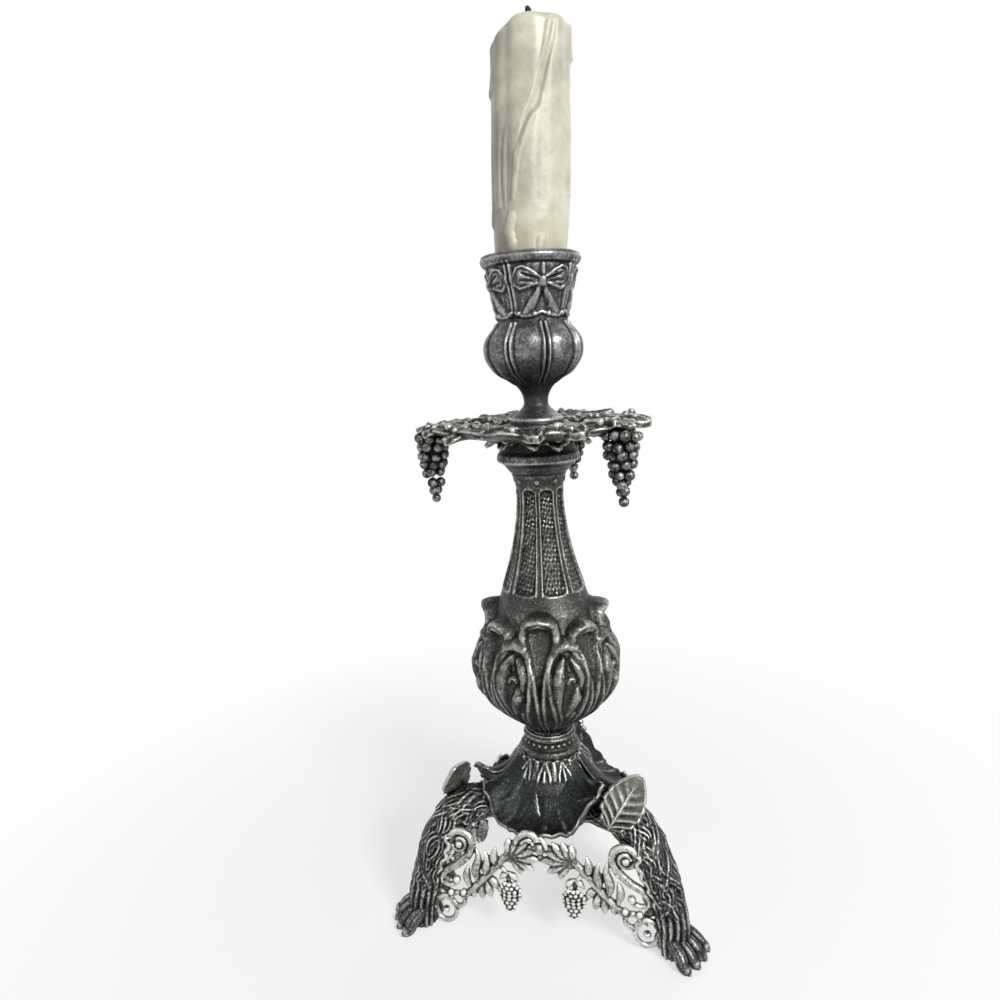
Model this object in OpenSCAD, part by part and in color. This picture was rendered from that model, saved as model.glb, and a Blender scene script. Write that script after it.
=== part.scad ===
// Grape and leaf candlestick: a cast tripod base, a baluster stem, a leaf drip pan with three grape
// bunches and a tulip cup, drawn together by one rod through the middle. A used candle stands in the cup.
// The origin is on the table under the middle of the stem. +Z is up and the open front faces -Y.

/* [Stack] */
// Height of the cast base, from the table to the underside of the collar
base_h = 50; // [46:0.5:56]
// Height of the ringed collar between base and stem
collar_h = 7; // [5:0.5:10]
// Height of the baluster stem
stem_h = 91.2; // [80:0.5:110]
// Thickness of the drip pan at its middle, where stem and cup clamp it
pan_hub_h = 5.2; // [4:0.2:8]
// Height of the candle cup
cup_h = 47.1; // [42:0.5:56]

/* [Stem] */
// Largest radius of the stem, at its leafy bulb
stem_belly_r = 22; // [20:0.5:25]
// Number of leaves round the bulb, and of panels round the neck
stem_leaves = 8; // [6:1:10]
// How far a leaf stands proud of the bulb
stem_leaf_proud = 0.9; // [0.4:0.1:1.5]
// Depth of the sunk panels in the neck
stem_panel_depth = 0.55; // [0.3:0.05:0.8]
// Angle of the first panel band, from +X
stem_turn = -86; // [-90:1:-80]

/* [Cup] */
// Radius of the cup's rim
cup_rim_r = 14; // [13:0.25:16]
// Number of swollen lobes round the cup
cup_lobes = 8; // [6:1:10]
// Depth of the valleys between the lobes
cup_valley = 1; // [0.5:0.1:1.3]
// Angle of the first strap, from +X
cup_turn = -64.7; // [-70:0.1:-60]
// Depth of the socket that takes the candle
socket_depth = 14.5; // [12:0.5:16]
// Radius of the socket's floor
socket_floor_r = 8.6; // [7.6:0.1:8.8]
// Thickness of the cup's wall at its rim
cup_wall = 1.6; // [1.2:0.1:2.2]

/* [Drip pan] */
// Mean radius of the leafy pan
pan_r = 34.5; // [31:0.5:38]
// Thickness of the pan's leaves
pan_t = 2; // [1.6:0.1:3]
// Height that the pan's edge rises over its middle
pan_rise = 3; // [0:0.25:4]
// Depth of the notches between the pan's lobes
pan_notch = 2.4; // [1:0.1:4]
// Lobes round the pan
pan_lobes = 15; // [9:3:18]
// How far the edge of a vine leaf on the pan stands over its middle
pan_leaf_cup = 0.9; // [0.4:0.1:1.6]

/* [Grape bunches] */
// Distance from the stem's middle to the middle of a bunch
bunch_r = 31; // [29:0.5:32]
// Length of a bunch
bunch_len = 21; // [16:0.5:24]
// Radius of a bunch at its shoulders
bunch_w = 4.6; // [4:0.1:5.4]
// Radius of one grape
grape_r = 1.6; // [1.3:0.05:1.9]
// Rows of grapes in a bunch
grape_rows = 7; // [5:1:8]
// Where the three bunches hang, as angles from +X
bunch_angles = [197, 326, 78];

/* [Base] */
// Distance from the stem's middle to the tips of the toes
foot_reach = 54; // [50:0.5:60]
// Radius of the hub that carries legs and leaves
hub_r = 12.5; // [11.5:0.25:14]
// Height of the hub, from its underside to the collar
hub_h = 23; // [20:0.5:26]
// Half the width of a leg at its knee
leg_w = 6.4; // [5.4:0.1:7.5]
// Radius of a toe at its knuckle
toe_r = 2.7; // [2.2:0.1:3.2]
// Depth that is cut from under each paw to make its flat sole
sole_cut = 0.6; // [0.4:0.1:1]
// Distance from the stem's middle to the vine panel between two legs
vine_reach = 23; // [22:0.25:25]
// Depth of a vine panel's top under the collar
vine_drop = 18; // [17:0.5:21]
// Radius of a vine's stems
vine_r = 0.95; // [0.7:0.05:1.2]
// Distance from the stem's middle to the side lobes of a large leaf
leaf_reach = 24.6; // [22:0.2:26]
// Height that the side lobes of a large leaf rise over its seat on the hub
leaf_rise = 4; // [2:0.25:6]
// Thickness of the leaves
leaf_t = 1.3; // [1:0.1:1.8]
// Half the width of the small leaf
leg_leaf_w = 5.6; // [4.5:0.1:7]

/* [Rod] */
// Radius of the rod that draws the pieces together
rod_r = 2; // [1.6:0.1:2.4]
// Gap between the rod and the pieces it passes through
rod_gap = 0.3; // [0.2:0.05:0.6]
// Gap left between the rod and what it screws into
thread_gap = 0.05; // [0.02:0.01:0.1]
// How far the rod screws into the cup
rod_grip = 9; // [6:0.5:11]
// Width of the nut across its flats
nut_af = 7; // [6:0.5:9]
// Height of the nut
nut_h = 3.2; // [2.4:0.1:4]
// Radius of the washer
washer_r = 4.5; // [4.2:0.1:6]
// Thickness of the washer
washer_t = 0.8; // [0.5:0.1:1.2]
// Length of rod that shows under the nut
rod_end = 1.6; // [0.5:0.1:3]

/* [Candle] */
// Radius of the candle
candle_r = 10.9; // [10:0.1:12]
// Height that the candle stands over the cup's rim
candle_show = 59.5; // [40:0.5:120]
// Radius of the candle at the rim, where it was whittled to fit
candle_neck_r = 10.3; // [9.6:0.1:10.8]
// Gap between the candle's foot and the socket's wall
candle_gap = 0.3; // [0.2:0.05:0.6]
// Height of the whittled part over the rim
candle_whittle = 4; // [2:0.5:8]
// Slope of the burnt-down side of the candle's top
candle_slope = 36; // [20:1:45]
// How far the burnt-down side has sunk
candle_sunk = 6.5; // [3:0.5:9]
// How far the candle leans over in its socket, towards +X
candle_lean = 2.75; // [0:0.25:4]
// Radius of the wick
wick_r = 0.9; // [0.6:0.05:1.2]
// Length of wick that shows
wick_show = 2; // [1:0.25:6]
// Depth that the wick is set into the wax
wick_set = 6; // [3:0.5:10]

/* [Fit] */
// Thickness of the solder film between the cast pieces of the base
solder = 0.15; // [0.1:0.05:0.3]

/* [Hidden] */
$fn = 48;

hub_floor = base_h - hub_h;
vine_top = base_h - vine_drop;
stem_z = base_h + collar_h;
pan_z = stem_z + stem_h;
cup_z = pan_z + pan_hub_h;
rim_z = cup_z + cup_h;
socket_z = rim_z - socket_depth;
socket_mouth_r = cup_rim_r - cup_wall;
rod_bore_r = rod_r + rod_gap;
overrun = 1;
// The legs stand at these angles from +X, and a vine panel and a large leaf lie 60 degrees after each.
leg_angles = [210, 330, 90];
panel_angles = [270, 30, 150];
pewter = [0.36, 0.37, 0.37];
dark_pewter = [0.25, 0.26, 0.26];
wax = [0.88, 0.88, 0.78];

// Share of the way from low to high, eased at both ends
function eased(low, high, x) =
    let (t = min(1, max(0, (x - low) / (high - low))))
    t * t * (3 - 2 * t);
// A point at a radius, an angle and a height
function around(r, angle, z) = [r * cos(angle), r * sin(angle), z];
// One value of a smooth curve through four neighbouring values
function smooth_step(a, b, c, d, t) =
    ((2 * b) + (c - a) * t + (2 * a - 5 * b + 4 * c - d) * t * t + (3 * b - a - 3 * c + d) * t * t * t) / 2;
// A smooth row of values through the rows of a table, with a given number of steps between rows
function smooth_rows(table, steps) = [
    for (i = [0 : len(table) - 2], s = [0 : steps - 1])
        smooth_step(table[max(i - 1, 0)], table[i], table[i + 1], table[min(i + 2, len(table) - 1)], s / steps),
    table[len(table) - 1]
];
function unit(v) = v / norm(v);

// A closed skin through rings of points that run counter-clockwise seen from the far end
module skin(rings) {
    n = len(rings[0]);
    m = len(rings);
    points = concat(
        [for (ring = rings) each ring],
        [[for (k = [0 : 2]) sum([for (p = rings[0]) p[k]]) / n]],
        [[for (k = [0 : 2]) sum([for (p = rings[m - 1]) p[k]]) / n]]
    );
    walls = [
        for (i = [0 : m - 2], j = [0 : n - 1])
            let (a = i * n + j, b = i * n + (j + 1) % n)
            each [[a, b + n, b], [a, a + n, b + n]]
    ];
    near_cap = [for (j = [0 : n - 1]) [m * n, j, (j + 1) % n]];
    far_cap = [for (j = [0 : n - 1]) [m * n + 1, (m - 1) * n + (j + 1) % n, (m - 1) * n + j]];
    polyhedron(points, concat(walls, near_cap, far_cap));
}
function sum(values, i = 0) = i < len(values) ? values[i] + sum(values, i + 1) : 0;

// Direction that the tubes' sections face, a little off the front so that no path runs along it
section_front_share = [0, 1, 0.01];
// A tube of changing radius along a path, with its sections square to the path
module vine(path, radii, n = 5) {
    last = len(path) - 1;
    tangents = [for (i = [0 : last]) unit(path[min(i + 1, last)] - path[max(i - 1, 0)])];
    skin([
        for (i = [0 : last])
            let (
                side = unit(cross(tangents[i], section_front_share)),
                up = cross(side, tangents[i])
            )
            [for (j = [0 : n - 1]) path[i] + radii[i] * (side * cos(360 * j / n) - up * sin(360 * j / n))]
    ]);
}

// Candle
// Each run of wax: its angle, and the shares of the candle's showing height where it starts and ends
wax_run_shares = [[196, 0.9, 0.74], [262, 0.6, 0.06], [12, 0.86, 0.8], [150, 0.7, 0.35], [60, 0.8, 0.5]];
wax_run_r = 1.1;
wax_drop_r = 1.45;
candle_round = 2.6;
candle_foot_r = socket_floor_r - candle_gap;

module candle() {
    color(wax)
        translate([0, 0, socket_z])
            difference() {
                union() {
                    cylinder(r1 = candle_foot_r, r2 = candle_neck_r, h = socket_depth);
                    translate([0, 0, socket_depth])
                        rotate([0, candle_lean, 0])
                            candle_body();
                }
                translate([0, 0, socket_depth])
                    rotate([0, candle_lean, 0])
                        candle_burnt();
            }
}

// The part of the candle that shows over the rim, with its drips
module candle_body() {
    rotate_extrude()
        polygon(concat(
            [[0, -candle_round], [candle_neck_r * 0.95, -candle_round], [candle_neck_r, candle_round]],
            [[candle_neck_r, candle_whittle]],
            [[candle_r, candle_whittle * 2]],
            [
                for (a = [0 : 15 : 90])
                    [
                        candle_r - candle_round * (1 - cos(a)),
                        candle_show - candle_round * (1 - sin(a))
                    ]
            ],
            [[0, candle_show]]
        ));
    for (run = wax_run_shares)
        wax_run(run[0], candle_show * run[2], candle_show * run[1]);
}

// What has burnt away from the candle's top, and the hole of its wick
module candle_burnt() {
    translate([-candle_r, 0, candle_show - candle_sunk])
        rotate([0, -candle_slope, 0])
            translate([-candle_r, -2 * candle_r, 0])
                cube([4 * candle_r, 4 * candle_r, 2 * candle_r]);
    translate([0, 0, candle_show - wick_set])
        cylinder(r = wick_r, h = wick_set + overrun);
}

// A bead of wax that ran down the side and set in a drop
module wax_run(angle, low, high) {
    rotate([0, 0, angle])
        translate([candle_r - wax_run_r / 2, 0, low]) {
            cylinder(r = wax_run_r, h = high - low, $fn = 24);
            sphere(r = wax_drop_r, $fn = 24);
            translate([0, 0, high - low])
                sphere(r = wax_run_r, $fn = 24);
        }
}

module wick() {
    color([0.1, 0.1, 0.1])
        translate([0, 0, rim_z])
            rotate([0, candle_lean, 0])
                translate([0, 0, candle_show - wick_set])
                    cylinder(r = wick_r, h = wick_set + wick_show);
}

// Candle cup
// Each row: height as a share of the cup, radius as a share of the rim, depth of the lobes' valleys,
// and height of the ridges between the bow panels
cup_shape_shares = [
    [0, 0.56, 0, 0], [0.03, 0.56, 0, 0], [0.05, 0.49, 0, 0], [0.08, 0.36, 0, 0],
    [0.115, 0.262, 0, 0], [0.155, 0.262, 0, 0], [0.19, 0.3, 0, 0], [0.228, 0.386, 0, 0],
    [0.265, 0.53, 0.3, 0], [0.3, 0.75, 0.7, 0], [0.345, 0.88, 1, 0], [0.4, 0.985, 1, 0],
    [0.455, 1.01, 1, 0], [0.51, 0.985, 1, 0], [0.56, 0.88, 0.8, 0], [0.6, 0.76, 0.4, 0],
    [0.64, 0.7, 0, 0.6], [0.76, 0.775, 0, 1], [0.89, 0.905, 0, 1],
    [0.94, 0.955, 0, 0.4], [0.965, 0.985, 0, 0], [1, 1, 0, 0]
];
cup_strap_angle = 4.5;
cup_ridge = 0.5;

module candle_cup() {
    pitch = 360 / cup_lobes;
    // A sector has its strap, the strap's two edges, and a lobe in three steps
    columns = [
        for (k = [0 : cup_lobes - 1])
            each [
                [k * pitch - cup_strap_angle, -1, 0],
                [k * pitch, -0.55, 1 - k % 2],
                [k * pitch + cup_strap_angle, -1, 0],
                [k * pitch + pitch * 0.27, -0.1, 0],
                [k * pitch + pitch * 0.5, 0, 0],
                [k * pitch + pitch * 0.73, -0.1, 0]
            ]
    ];
    color(pewter)
        translate([0, 0, cup_z])
            difference() {
                rotate([0, 0, cup_turn + pitch])
                    skin([
                        for (row = cup_shape_shares)
                            [
                                for (c = columns)
                                    around(
                                        cup_rim_r * row[1] + cup_valley * row[2] * c[1] + cup_ridge * row[3] * c[2],
                                        c[0],
                                        cup_h * row[0]
                                    )
                            ]
                    ]);
                translate([0, 0, cup_h - socket_depth])
                    rotate_extrude()
                        polygon([
                            [0, 0], [socket_floor_r, 0], [socket_mouth_r, socket_depth],
                            [socket_mouth_r, socket_depth + overrun], [0, socket_depth + overrun]
                        ]);
                translate([0, 0, -overrun])
                    cylinder(r = rod_r + thread_gap, h = rod_grip + overrun);
            }
}

// Drip pan
// Radius of each ring as a share of the pan
pan_ring_shares = [0.42, 0.62, 0.84, 1];
pan_hub_r = 10;
pan_pad_r = 2.4;
pan_pad_drop = 0.8;
pan_vein = 0.45;
pan_wave = 0.7;
// Each vine leaf on the pan: its direction, its twist, its length as a share of the pan's radius,
// and its lift over the pan and the droop of its tip as shares of the pan's thickness
pan_leaf_shares = [
    [-88, 12, 0.37, 0.75, 1.5], [-52, -16, 0.36, 0.45, 1], [-16, 8, 0.365, 0.8, 0.6], [20, -12, 0.37, 0.45, 0.9],
    [56, 14, 0.355, 0.75, 1.2], [92, -8, 0.37, 0.45, 0.8], [128, 10, 0.36, 0.8, 1.1], [164, -14, 0.37, 0.45, 0.7],
    [200, 6, 0.355, 0.75, 1.3], [236, -10, 0.365, 0.45, 1.6]
];
// Outline of a vine leaf: angle from its tip, and distance from its middle as a share of its length
vine_leaf_shares = [
    [0, 1], [31, 0.5], [62, 0.86], [93, 0.5], [124, 0.62], [158, 0.45], [180, 0.24],
    [202, 0.45], [236, 0.62], [267, 0.5], [298, 0.86], [329, 0.5]
];
// Where a leaf's stalk starts and where its middle lies, as shares of the pan's radius and its own length
pan_leaf_root_share = 0.446;
leaf_middle_share = 0.45;
// The leaves lean outward with the rise of the pan
pan_lean = atan(pan_rise / (pan_r * (1 - pan_ring_shares[0])));

// How far the pan has risen at a share of its radius
function pan_risen(share) = pan_rise * (share - pan_ring_shares[0]) / (1 - pan_ring_shares[0]);
// Height of the pan's upper side over its hub's underside
function pan_top(share, angle) =
    pan_hub_h - pan_t * 0.4 + pan_risen(share)
    + pan_vein * share * cos(pan_lobes * angle) + pan_wave * share * cos(3 * angle);
function pan_edge(angle) =
    pan_r - pan_notch * (0.5 - 0.5 * cos(pan_lobes * angle)) + pan_notch * 0.3 * cos(3 * angle);

module drip_pan() {
    // Two columns a lobe: its notch and its middle
    angles = [for (k = [0 : 2 * pan_lobes - 1]) 180 * k / pan_lobes];
    under = [
        for (share = pan_ring_shares)
            [for (a = angles) around(pan_edge(a) * share, a, pan_top(share, a) - pan_t * (1.2 - share * 0.6))]
    ];
    over = [
        for (i = [len(pan_ring_shares) - 1 : -1 : 0])
            let (share = pan_ring_shares[i])
            [for (a = angles) around(pan_edge(a) * share * 0.995, a, pan_top(share, a))]
    ];
    color(pewter)
        translate([0, 0, pan_z])
            difference() {
                union() {
                    skin(concat(
                        [[for (a = angles) around(pan_hub_r, a, 0)]],
                        [[for (a = angles) around(pan_hub_r * 1.1, a, pan_hub_h * 0.3)]],
                        under,
                        over,
                        [[for (a = angles) around(pan_hub_r * 0.85, a, pan_hub_h)]]
                    ));
                    for (leaf = pan_leaf_shares)
                        rotate([0, 0, leaf[0]])
                            translate([pan_r * pan_leaf_root_share, 0, pan_hub_h])
                                rotate([0, -pan_lean, leaf[1]])
                                    pan_leaf(pan_r * leaf[2], pan_t * leaf[3], pan_t * leaf[4]);
                    for (a = bunch_angles)
                        rotate([0, 0, a])
                            translate([bunch_r, 0, bunch_top - pan_z])
                                cylinder(r = pan_pad_r, h = pan_pad_drop + pan_wave + pan_t * 0.2);
                }
                translate([0, 0, -overrun])
                    cylinder(r = rod_bore_r, h = pan_hub_h + 2 * overrun);
            }
}

// A vine leaf that points along +X from its stalk, with its root sunk into the pan
module pan_leaf(size, lift, droop) {
    edge_t = pan_t * 0.55;
    translate([size * leaf_middle_share, 0, lift])
        skin([
            leaf_ring(size, 0.45, 0, 0, -lift - pan_t * 0.6),
            leaf_ring(size, 1, pan_leaf_cup, droop, -edge_t),
            leaf_ring(size, 1, pan_leaf_cup, droop, 0),
            leaf_ring(size, 0.5, pan_leaf_cup, droop, 0)
        ]);
}
// A ring of a vine leaf at a share of its outline
function leaf_ring(size, share, cup, droop, drop) = [
    for (p = vine_leaf_shares)
        around(size * share * p[1], p[0], cup * share * share - droop * pow(max(0, share * p[1] * cos(p[0])), 2) + drop)
];

// Grape bunches
// The bunches hang from flat pads under the pan
bunch_top = pan_z + pan_hub_h - pan_t - pan_pad_drop - pan_wave + pan_risen(bunch_r / pan_r);
bunch_stalk_r = 1.5;
bunch_stalk_h = 2;

module grape_bunch(angle) {
    row_h = (bunch_len - bunch_stalk_h - 2 * grape_r) / (grape_rows - 1);
    color(pewter)
        rotate([0, 0, angle])
            translate([bunch_r, 0, bunch_top]) {
                translate([0, 0, -bunch_stalk_h - row_h])
                    cylinder(r = bunch_stalk_r, h = bunch_stalk_h + row_h, $fn = 24);
                for (i = [0 : grape_rows - 1]) {
                    share = i / (grape_rows - 1);
                    ring_r = (bunch_w - grape_r) * (1 - share * share * 0.55 - share * 0.45);
                    count = max(1, floor(6.9 - 5.6 * share * share));
                    for (k = [0 : count - 1])
                        rotate([0, 0, 360 * (k + i / 2) / count])
                            translate([ring_r, 0, -bunch_stalk_h - grape_r - i * row_h])
                                sphere(r = grape_r, $fn = 16);
                }
                translate([0, 0, -bunch_len + grape_r])
                    cylinder(r1 = grape_r / 2, r2 = bunch_w - grape_r, h = bunch_len - bunch_stalk_h - grape_r, $fn = 24);
            }
}
module grape_bunch_1() grape_bunch(bunch_angles[0]);
module grape_bunch_2() grape_bunch(bunch_angles[1]);
module grape_bunch_3() grape_bunch(bunch_angles[2]);

// Stem
// Angles of a sector's columns as shares of the pitch: border of the tall leaf or of the band beside it,
// the valley next to it, and the side of the short leaf or of the panel
low_angle_shares = [0.06, 0.12, 0.31];
neck_angle_shares = [0.14, 0.18, 0.34];
// Each row: height as a share of the stem, radius as a share of the bulb, the angles of its columns,
// depth of the panels as a share of stem_panel_depth, and how far the surface stands proud as shares of
// stem_leaf_proud: at the middle of the tall leaf, its border, the valley, the short leaf's side and middle
stem_shape_shares = [
    [0, 0.32, low_angle_shares, 0, [0, 0, 0, 0, 0]], [0.02, 0.33, low_angle_shares, 0, [0, 0, 0, 0, 0]],
    [0.045, 0.44, low_angle_shares, 0, [0, 0, 0, 0, 0]],
    [0.075, 0.62, low_angle_shares, 0, [-0.2, 0.2, -0.2, 0.3, 0]],
    [0.112, 0.79, low_angle_shares, 0, [-0.6, 0.4, -0.3, 0.6, 0.3]],
    [0.148, 0.9, low_angle_shares, 0, [-0.8, 0.6, -0.3, 1.1, 0.9]],
    [0.19, 0.975, low_angle_shares, 0, [-0.9, 0.7, -0.2, 1.5, 1.1]],
    [0.24, 1, [0.075, 0.15, 0.31], 0, [-1, 0.9, 0, 1.7, 0.2]],
    [0.295, 0.965, [0.12, 0.19, 0.33], 0, [-1.3, 1, 0.1, 1.6, 0.2]],
    [0.345, 0.88, [0.23, 0.28, 0.36], 0, [-1.6, 1.1, -0.3, 1.7, 2.4]],
    [0.373, 0.835, [0.32, 0.37, 0.42], 0, [-1.8, 1.4, -0.3, 1.7, 2.5]],
    [0.388, 0.8, [0.36, 0.42, 0.45], 0, [-1.8, 1.6, -0.4, -0.4, -0.4]],
    [0.417, 0.735, [0.4, 0.46, 0.48], 0, [-1.4, 2.2, -0.4, -0.4, -0.4]],
    [0.438, 0.7, [0.37, 0.44, 0.47], 0, [2.4, 3.5, -0.3, -0.3, -0.3]],
    [0.452, 0.68, [0.26, 0.34, 0.42], 0, [5.2, 4.7, 0, 0, 0]],
    [0.464, 0.65, [0.15, 0.22, 0.36], 0, [0.3, 0.2, 0, 0, 0]],
    [0.51, 0.572, neck_angle_shares, 0, [0, 0, 0, 0, 0]], [0.525, 0.552, neck_angle_shares, 1, [0, 0, 0, 0, 0]],
    [0.61, 0.443, neck_angle_shares, 1, [0, 0, 0, 0, 0]], [0.7, 0.36, neck_angle_shares, 1, [0, 0, 0, 0, 0]],
    [0.8, 0.312, neck_angle_shares, 1, [0, 0, 0, 0, 0]], [0.86, 0.328, neck_angle_shares, 0.7, [0, 0, 0, 0, 0]],
    [0.885, 0.355, neck_angle_shares, 0, [0, 0, 0, 0, 0]], [0.915, 0.435, neck_angle_shares, 0, [0, 0, 0, 0, 0]],
    [0.932, 0.505, neck_angle_shares, 0, [0, 0, 0, 0, 0]], [0.939, 0.55, neck_angle_shares, 0, [0, 0, 0, 0, 0]],
    [0.954, 0.555, neck_angle_shares, 0, [0, 0, 0, 0, 0]], [1, 0.454, neck_angle_shares, 0, [0, 0, 0, 0, 0]]
];

// One sector of the stem at a row of its table, that starts at an angle
function stem_sector(row, angle, pitch) =
    let (
        z = stem_h * row[0],
        r = stem_belly_r * row[1],
        panel = r - stem_panel_depth * row[3],
        a = row[2] * pitch,
        proud = row[4] * stem_leaf_proud
    )
    [
        around(r + proud[0], angle, z),
        around(r + proud[1], angle + a[0], z),
        around(panel + proud[2], angle + a[1], z),
        around(panel + proud[3], angle + a[2], z),
        around(panel + proud[4], angle + pitch / 2, z),
        around(panel + proud[3], angle + pitch - a[2], z),
        around(panel + proud[2], angle + pitch - a[1], z),
        around(r + proud[1], angle + pitch - a[0], z)
    ];

module stem() {
    pitch = 360 / stem_leaves;
    color(pewter)
        translate([0, 0, stem_z])
            difference() {
                rotate([0, 0, stem_turn])
                    skin([
                        for (row = stem_shape_shares)
                            [for (k = [0 : stem_leaves - 1]) each stem_sector(row, k * pitch, pitch)]
                    ]);
                translate([0, 0, -overrun])
                    cylinder(r = rod_bore_r, h = stem_h + 2 * overrun);
            }
}

// Collar
// Each point: radius as a share of the stem's foot, height as a share of the collar
collar_shape_shares = [
    [1.34, 0], [1.4, 0.06], [1.42, 0.16], [1.36, 0.27], [1.2, 0.34], [1.12, 0.42], [1.1, 0.62],
    [1.12, 0.68], [1.17, 0.74], [1.17, 0.84], [1.12, 0.9], [1.08, 1]
];
stem_foot_r = stem_belly_r * stem_shape_shares[0][1];

module collar() {
    color(pewter)
        translate([0, 0, base_h])
            difference() {
                rotate_extrude()
                    polygon(concat(
                        [[0, 0]],
                        [for (p = collar_shape_shares) [stem_foot_r * p[0], collar_h * p[1]]],
                        [[0, collar_h]]
                    ));
                translate([0, 0, -overrun])
                    cylinder(r = rod_bore_r, h = collar_h + 2 * overrun);
            }
}

// Base hub
// Each row: height as a share of the way from the hub's underside to its top, radius as a share of hub_r,
// and how far its leaves stand proud as a share of hub_leaf_proud
hub_shape_shares = [
    [0, 0.9, 0], [0.05, 1, 0], [0.46, 1, 0], [0.52, 1.1, 0.2], [0.6, 1.14, 1], [0.7, 1.1, 1],
    [0.82, 0.98, 1], [0.93, 0.84, 0.8], [1, 0.76, 0]
];
hub_leaves = 12;
hub_leaf_proud = 0.7;
hub_cap_r = hub_r * 1.14 + hub_leaf_proud;

module base_hub() {
    color(dark_pewter)
        translate([0, 0, hub_floor])
            difference() {
                skin([
                    for (row = hub_shape_shares)
                        [
                            for (k = [0 : 2 * hub_leaves - 1])
                                around(
                                    hub_r * row[1] + hub_leaf_proud * row[2] * (k % 2),
                                    180 * k / hub_leaves,
                                    hub_h * row[0]
                                )
                        ]
                ]);
                translate([0, 0, -overrun])
                    cylinder(r = rod_bore_r, h = hub_h + 2 * overrun);
            }
}

// Legs
// Each row of a leg: distance out as a share of foot_reach, height as a share of base_h,
// half width and half depth as shares of leg_w
leg_path_shares = [
    [0.18, 0.64, 0.8, 0.66], [0.3, 0.695, 0.84, 0.68], [0.42, 0.725, 0.9, 0.7], [0.54, 0.72, 0.97, 0.74],
    [0.645, 0.65, 1, 0.8], [0.74, 0.52, 0.92, 0.75], [0.81, 0.36, 0.78, 0.7], [0.845, 0.21, 0.72, 0.66],
    [0.845, 0.09, 0.84, 0.6], [0.84, -0.01, 0.72, 0.54]
];
leg_steps = 2;
leg_sides = 12;
leg_flute = 0.07;
toe_angles = [-30, -10, 10, 30];
// Where the toes spring from, as a share of foot_reach
heel_share = 0.815;
toe_root_z = toe_r * 1.7;
toe_tip_share = 0.72;
// Place of a toe's knuckle, out from its root and up from the table, in toe radii
knuckle_share = 2.1;
knuckle_lift_share = 1.15;

// The leg's fluted skin, with a share of its own size added all round
module leg_skin(extra) {
    rows = smooth_rows(leg_path_shares, leg_steps);
    last = len(rows) - 1;
    skin([
        for (i = [0 : last])
            let (
                r = foot_reach * rows[i][0],
                z = base_h * rows[i][1],
                along = unit([
                    foot_reach * (rows[min(i + 1, last)][0] - rows[max(i - 1, 0)][0]),
                    base_h * (rows[min(i + 1, last)][1] - rows[max(i - 1, 0)][1])
                ])
            )
            [
                for (j = [0 : leg_sides - 1])
                    let (
                        a = 360 * j / leg_sides,
                        flute = 1 + leg_flute * (2 * (j % 2) - 1),
                        across = (leg_w * rows[i][2] * flute + extra) * cos(a),
                        out = (leg_w * rows[i][3] * flute + extra) * sin(a)
                    )
                    [r - along[1] * out, across, z + along[0] * out]
            ]
    ]);
}

module toe(angle) {
    tip_r = toe_r * toe_tip_share;
    root = [foot_reach * heel_share, 0, toe_root_z];
    turned = [cos(angle), sin(angle), 0];
    knuckle = [root[0], 0, toe_r * knuckle_lift_share] + turned * toe_r * knuckle_share;
    tip = [root[0], 0, tip_r - sole_cut] + turned * (foot_reach * (1 - heel_share) - tip_r);
    hull() {
        translate(root)
            sphere(r = toe_r, $fn = 6);
        translate(knuckle)
            sphere(r = toe_r, $fn = 6);
    }
    hull() {
        translate(knuckle)
            sphere(r = toe_r, $fn = 6);
        translate(tip)
            sphere(r = tip_r, $fn = 6);
    }
}

module leg(angle) {
    color(dark_pewter)
        rotate([0, 0, angle])
            difference() {
                union() {
                    leg_skin(0);
                    for (a = toe_angles)
                        toe(a);
                }
                translate([0, 0, -base_h])
                    cylinder(r = 2 * foot_reach, h = base_h, $fn = 24);
                cylinder(r = hub_r + solder, h = base_h);
            }
}
module leg_1() leg(leg_angles[0]);
module leg_2() leg(leg_angles[1]);
module leg_3() leg(leg_angles[2]);

// Vine panels
// A vine panel meets the legs where they bend down, and its middle bows out
vine_half = foot_reach * leg_path_shares[4][0] * sin(60);
vine_bow = vine_r;
vine_knot_r = vine_r * 1.5;
vine_sides = 4;
blade_sides = 3;
vine_tendril_r = vine_r * 0.85;
// Places on a panel: share of vine_half across, share of vine_top up
main_stem_shares = [[0.02, 0.95], [0.16, 0.92], [0.32, 0.84], [0.46, 0.7], [0.6, 0.54], [0.82, 0.34]];
// Round the edge of the lobed leaf, from its stalk and counter-clockwise
lobed_leaf_shares = [
    [0.37, 0.82], [0.31, 0.88], [0.28, 1], [0.225, 0.91], [0.135, 1], [0.155, 0.9],
    [0.03, 0.92], [0.14, 0.83], [0.04, 0.74], [0.19, 0.77], [0.155, 0.65], [0.27, 0.75]
];
lobed_leaf_middle_share = [0.2, 0.84];
// Its back, edge and raised middle: share of the outline, and depth in vine radii
lobed_leaf_layer_shares = [[0.9, 0.7], [1, 0], [0.4, -1.1]];
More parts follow.
